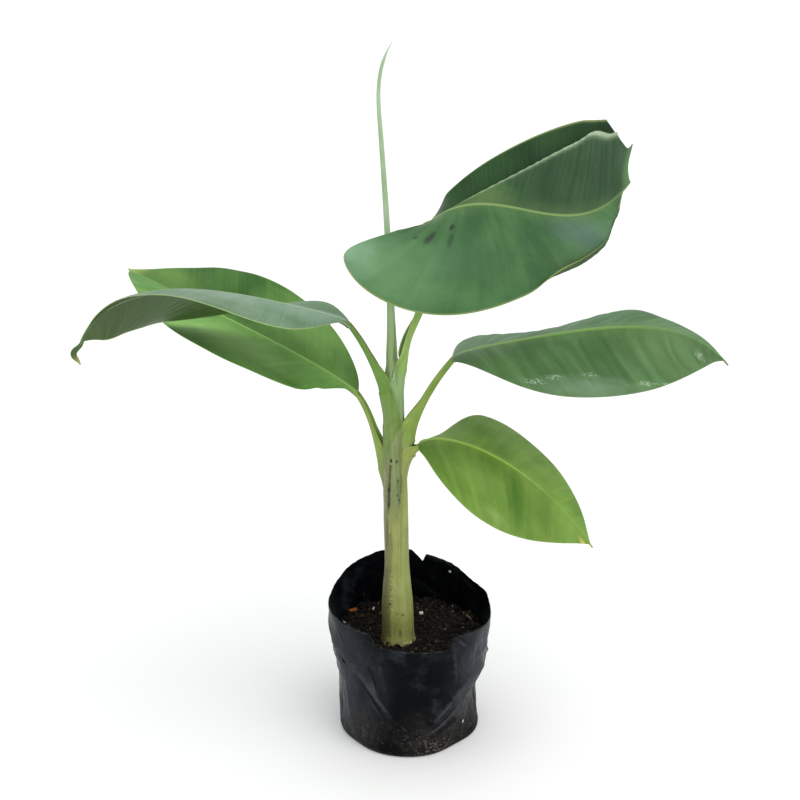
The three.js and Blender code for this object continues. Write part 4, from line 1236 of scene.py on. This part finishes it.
def addStem():
    angle = np.arange(stem["around"]) * 360 / stem["around"] + 90  # the map's seam is at the back
    share = np.linspace(0, 1, stem["rows"] + 1)[:, None]
    z = lerp((stem["bottom"], stem["top"]), share ** stem["rowPower"])
    rings = stemAxis(z) + polar(stemRadius(angle, z) + stemRelief(angle, z), angle, 0)
    around = np.radians(angle - 270) * stem["meanRadius"] * mm
    cover = lambda *names: [sheathCover(name, angle, z) for name in names]
    addTube("stem_sheaths", rings, stemMaterial(), "sheath", ["pseudostem"],
            stemPlan=(around, rings[..., 2] * mm),
            stemOuter=cover("lower_right", "left_back"), stemInner=cover("right", "left_front"))


addStem()


# stalks: each rises out of its sheath, channelled above and bending over into the midrib

stalk = dict(
    step=0.6, sheathRows=40, ribRows=24, ribReach=16, reach=20, around=48, skin=0.3, sink=1.1, spread=2.4,
    wingReach=28, leave=2.4, easeRows=18, easeRounds=120, runRounds=150, thinning=0.55, ribThinning=0.55,
    ribSink=0.75, twistRows=(0, 0.12, 0.15, 0.5), channel=(9.4, 10.6, 13.9, 15.1), lipsAt=(9, 15.5),
    lipHalf=0.8, dots="4a4a24",
)
# one section, from the left lip round the outside to the right lip and back along the channel
stalkSection = [
    (1, 0.45), (1.02, 0.0), (0.82, -0.6), (0.42, -0.93), (0, -1.02), (-0.42, -0.93), (-0.82, -0.6),
    (-1.02, 0.0), (-1, 0.45), (-0.86, 0.6), (-0.66, 0.3), (-0.36, -0.12), (0, -0.26), (0.36, -0.12),
    (0.66, 0.3), (0.86, 0.6),
]
# radii at foot and blade, height of the wings at the foot, a plainer run where there is one, and the
# colours of the outside, its streaks, the sheath at the foot, the channel and the lips, and how far they show
stalkLooks = dict(
    lower_right=dict(size=(3.3, 1.8), wing=2.0, pale="a2b054", green="829b45", foot="989f58",
                     channel="5c7436", lips="bcc790", lipShow=0.7),
    left_back=dict(size=(3.1, 1.8), wing=4.5, pale="9bb358", green="7b9843", foot="7d8554",
                   channel="93ad5c", lips="9fb56a", lipShow=0.5),
    right=dict(size=(3.9, 2.0), wing=4.5, pale="95ad51", green="77963f", foot="86945c", channel="55742f",
               lips="a9bb72", lipShow=0.5),
    left_front=dict(size=(3.7, 1.8), wing=2.0, pale="769a46", green="5e8635", foot="738f48",
                    channel="476a28", lips="7d6a45", lipShow=0.75),
    top_right=dict(
        size=(2.7, 2.4), wing=1.4,
        run=[(-4.1, -13.2, 238.4), (-3.6, -13.4, 246.4), (-1.7, -13.8, 256.9), (1, -14.2, 263.5),
             (4.3, -15, 270.2), (7, -16, 277.6), (8.8, -17.5, 288.8), (9.4, -19.5, 306.4)],
        twist=60, pale="9cba62", green="7fa64c", foot="8caa72", channel="4f6c22", lips="bcd29e",
        lipShow=0.8,
    ),
)


def closedSpline(corners, count):  # Catmull-Rom through the corners
    corners = np.array(corners, float)
    t = np.arange(count) * len(corners) / count
    i, f = np.floor(t).astype(int), (t % 1)[:, None]
    p0, p1, p2, p3 = (corners[(i + k) % len(corners)] for k in (-1, 0, 1, 2))
    return p1 + f / 2 * (p2 - p0 + f * (2 * p0 - 5 * p1 + 4 * p2 - p3 + f * (3 * (p1 - p2) + p3 - p0)))


def stalkRun(leaf, look):  # from the sheath to the blade
    free, compass = stalkWalk(leaf, int(leaf["stalk"] / stalk["step"]) + 12)
    if "run" in look:  # its own way there
        way = np.array([*look["run"], free[-1]])
        z = np.linspace(way[0, 2], way[-1, 2], len(free))
        free = eased(table(*(np.interp(z, way[:, 2], way[:, k]) for k in (0, 1)), z), stalk["runRounds"])
    return free, compass


def stalkRings(leaf, look):
    aside, tall = closedSpline(stalkSection, stalk["around"]).T
    free, compass = stalkRun(leaf, look)
    foot = free[0]
    turn = footAngle(foot)
    low = np.linspace(0, 1, stalk["sheathRows"], endpoint=False)
    n = len(low)
    z = foot[2] - stalk["reach"] * (1 - low)
    axis = stemAxis(z)
    surface = stemRadius(turn + 0 * z, z)
    rho = lerp((surface, np.hypot(*(foot - stemAxis(foot[2]))[:2])), low ** stalk["leave"])
    fine = np.linspace(0, stalk["ribReach"] / leaf["length"], stalk["ribRows"] + 1)
    rib = walk(free[-1], stalk["ribReach"], ribDirection(leaf, fine))[1:]
    middle = np.concatenate([axis + polar(rho, turn, 0), free, rib])
    ease = bell((np.arange(len(middle)) - n) / stalk["easeRows"])[:, None]  # where it leaves its sheath
    middle = middle + ease * (eased(middle, stalk["easeRounds"]) - middle)
    along = unitRows(np.gradient(middle, axis=0))
    runs = (axis, free, rib)
    rows = lambda *parts: np.concatenate([part + 0 * run[:, 0] for part, run in zip(parts, runs)])
    s = rows(0, np.linspace(0, 1, len(free)), 1)
    down = rows(1 - low, 0, 0)  # 1 at the sheath's lower end
    past = rows(0, 0, np.arange(1, len(rib) + 1) / len(rib))  # 1 at the rib's end
    swung = turn - leaf["stalkHeading"] - halfTurn(turn - leaf["stalkHeading"]) * smooth(s[n:], 0, 0.5)
    swung = swung + np.concatenate([compass, leaf["heading"] + leaf["turn"] * fine[1:]])
    swung = swung + look.get("twist", 0) * between(s[n:], *stalk["twistRows"])
    level = polar(1, np.concatenate([turn + 0 * low, swung]) + 90, 0)
    across = unitRows(level - along * (level * along).sum(-1, keepdims=True))
    upper = np.cross(along, across)
    wingEnd = min(stalk["wingReach"], 0.9 * leaf["stalk"])
    wing = np.concatenate([smooth(low, 0.3, 1), 1 - smooth(s[n:] * leaf["stalk"], 0.1 * wingEnd, wingEnd)])
    size = lerp(look["size"], s ** stalk["thinning"]) * (1 - stalk["ribThinning"] * past)
    below = stalk["ribSink"] * size * smooth(past, 0, 0.7)  # sinks under the blade
    middle = middle - upper * below[:, None]
    deep = (size * (1 - down) ** 1.2 + stalk["skin"] * (down > 0))[:, None] * tall
    wide = (size + stalk["spread"] * down)[:, None] * aside
    raised = deep + look["wing"] * wing[:, None] * smooth(tall, 0.1, 0.55)
    rings = middle[:, None] + across[:, None] * wide[..., None] + upper[:, None] * raised[..., None]
    swing = turn + np.degrees(wide[:n] / rho[:, None])
    swell = (rho - surface)[:, None] * np.maximum(0, 1 - aside ** 2)
    sunk = stalk["sink"] * down[:n, None] ** 0.5 * (0.35 + 0.65 * aside ** 2)
    radius = stemRadius(swing, z[:, None]) + swell - deep[:n] - sunk
    hug = (1 - smooth(low, 0.45, 1.0))[:, None, None]  # the foot lies round the stem
    rings[:n] = rings[:n] * (1 - hug) + (axis[:, None] + polar(radius, swing, 0)) * hug
    measure = np.cumsum(np.r_[0, np.linalg.norm(np.diff(middle, axis=0), axis=1)])[:, None]
    t = np.arange(stalk["around"]) * len(stalkSection) / stalk["around"]
    channel = between(t, *stalk["channel"])
    lips = sum(bell((t - at) / stalk["lipHalf"]) for at in stalk["lipsAt"])
    shown = 1 - down[:, None]
    return rings, ((wide + 3 * (tall > 0.2)) * mm, measure * mm), (channel * shown, lips * shown)


def stalkMaterial(name, look):
    material, shader = newMaterial("stalk_" + name, 0.3)
    place = mapPlace("stalkPlan")  # metres across and along
    up = apart(place)[1]
    channel, lips, _ = apart(mapPlace("stalkEdges"))
    lines = effect(fibres, place, 0.0008, 0.04)
    patches = effect(mottle, place, 0.015)
    streaks = ramp(plus(times(lines, 0.5), times(patches, 0.5)), 0.36, 0.64)
    color = coat(paint(look["pale"]), look["green"], streaks)
    color = coat(color, look["foot"], ramp(up, 0.026, 0.008))
    color = coat(color, look["channel"], channel, ramp(up, 0.037, 0.05, 0.85, 0.1))
    color = coat(color, look["lips"], lips, look["lipShow"])
    color = coat(color, stalk["dots"], effect(specks, place, 0.004, 0.12, 0.09), 0.5)
    dress(shader, color, ramp(patches, 0.3, 0.7, 0.4, 0.55), lines, 0.0005, 0.6)
    return material


def addStalk(name, leaf, look):
    rings, plan, edges = stalkRings(leaf, look)
    addTube("stalk_" + name, rings, stalkMaterial(name, look), "sheath", ["petiole_" + name],
            stalkPlan=plan, stalkEdges=edges)


for name, leaf in leaves.items():
    addStalk(name, leaf, stalkLooks[name])


# rolled new leaf, with the roll's free edge winding up it

spear = dict(
    foot=(-10.1, -8), sunk=7, base=246.3, tip=423, bow=10, hook=10.2, hookStart=0.75, radius=1.75, collar=1.6,
    collarFall=0.14, thinning=0.85, point=0.75, around=40, rows=220, overlap=0.16, twist=0.7, edgeStart=-1.2,
    edgeHalf=0.05, girth=11, pale="b4c9a8", green="9ab78a", low="9fb87c", line="7f9c68",
)


def spearMaterial():
    material, shader = newMaterial("rolledLeaf", 0.3)
    place = mapPlace("rollPlan")
    up = apart(place)[1]
    edge = apart(mapPlace("rollEdge"))[0]
    lines = effect(fibres, place, 0.0007, 0.05)
    patches = effect(mottle, place, 0.02)
    color = coat(paint(spear["pale"]), spear["green"], ramp(patches, 0.3, 0.7))
    color = coat(color, spear["low"], ramp(up, 0.29, 0.25))
    color = coat(color, spear["green"], ramp(lines, 0.45, 0.8, 0.0, 0.4))
    color = coat(color, spear["line"], edge, 0.6)
    dress(shader, color, ramp(patches, 0.3, 0.7, 0.4, 0.52), lines, 0.0004, 0.5)
    return material


def addSpear():
    up = np.linspace(-spear["sunk"] / (spear["tip"] - spear["base"]), 1, spear["rows"] + 1)[:, None]
    grown = np.maximum(0, up)  # 0 inside the crown
    z = lerp((spear["base"], spear["tip"]), up)
    hooked = np.maximum(0, (up - spear["hookStart"]) / (1 - spear["hookStart"])) ** 3
    x = spear["foot"][0] - spear["bow"] * grown ** 1.5 + spear["hook"] * hooked
    radius = spear["radius"] + spear["collar"] * np.exp(-grown / spear["collarFall"])
    radius = (radius - spear["thinning"] * up ** 2) * (1 - spear["point"] * smooth(up, 0.93, 1.0))
    turn = np.arange(spear["around"]) / spear["around"]
    angle = 2 * np.pi * (turn + spear["twist"] * up) + spear["edgeStart"]
    reach = radius * (1 + spear["overlap"] * (turn - 0.5))
    rings = table(x + reach * np.cos(angle), spear["foot"][1] + reach * np.sin(angle), z)
    addTube("rolled_leaf", rings, spearMaterial(), "young_leaf", ["spear_leaf"],
            rollPlan=(turn * spear["girth"] * mm, z * mm), rollEdge=(bell(turn / spear["edgeHalf"]), up))


addSpear()
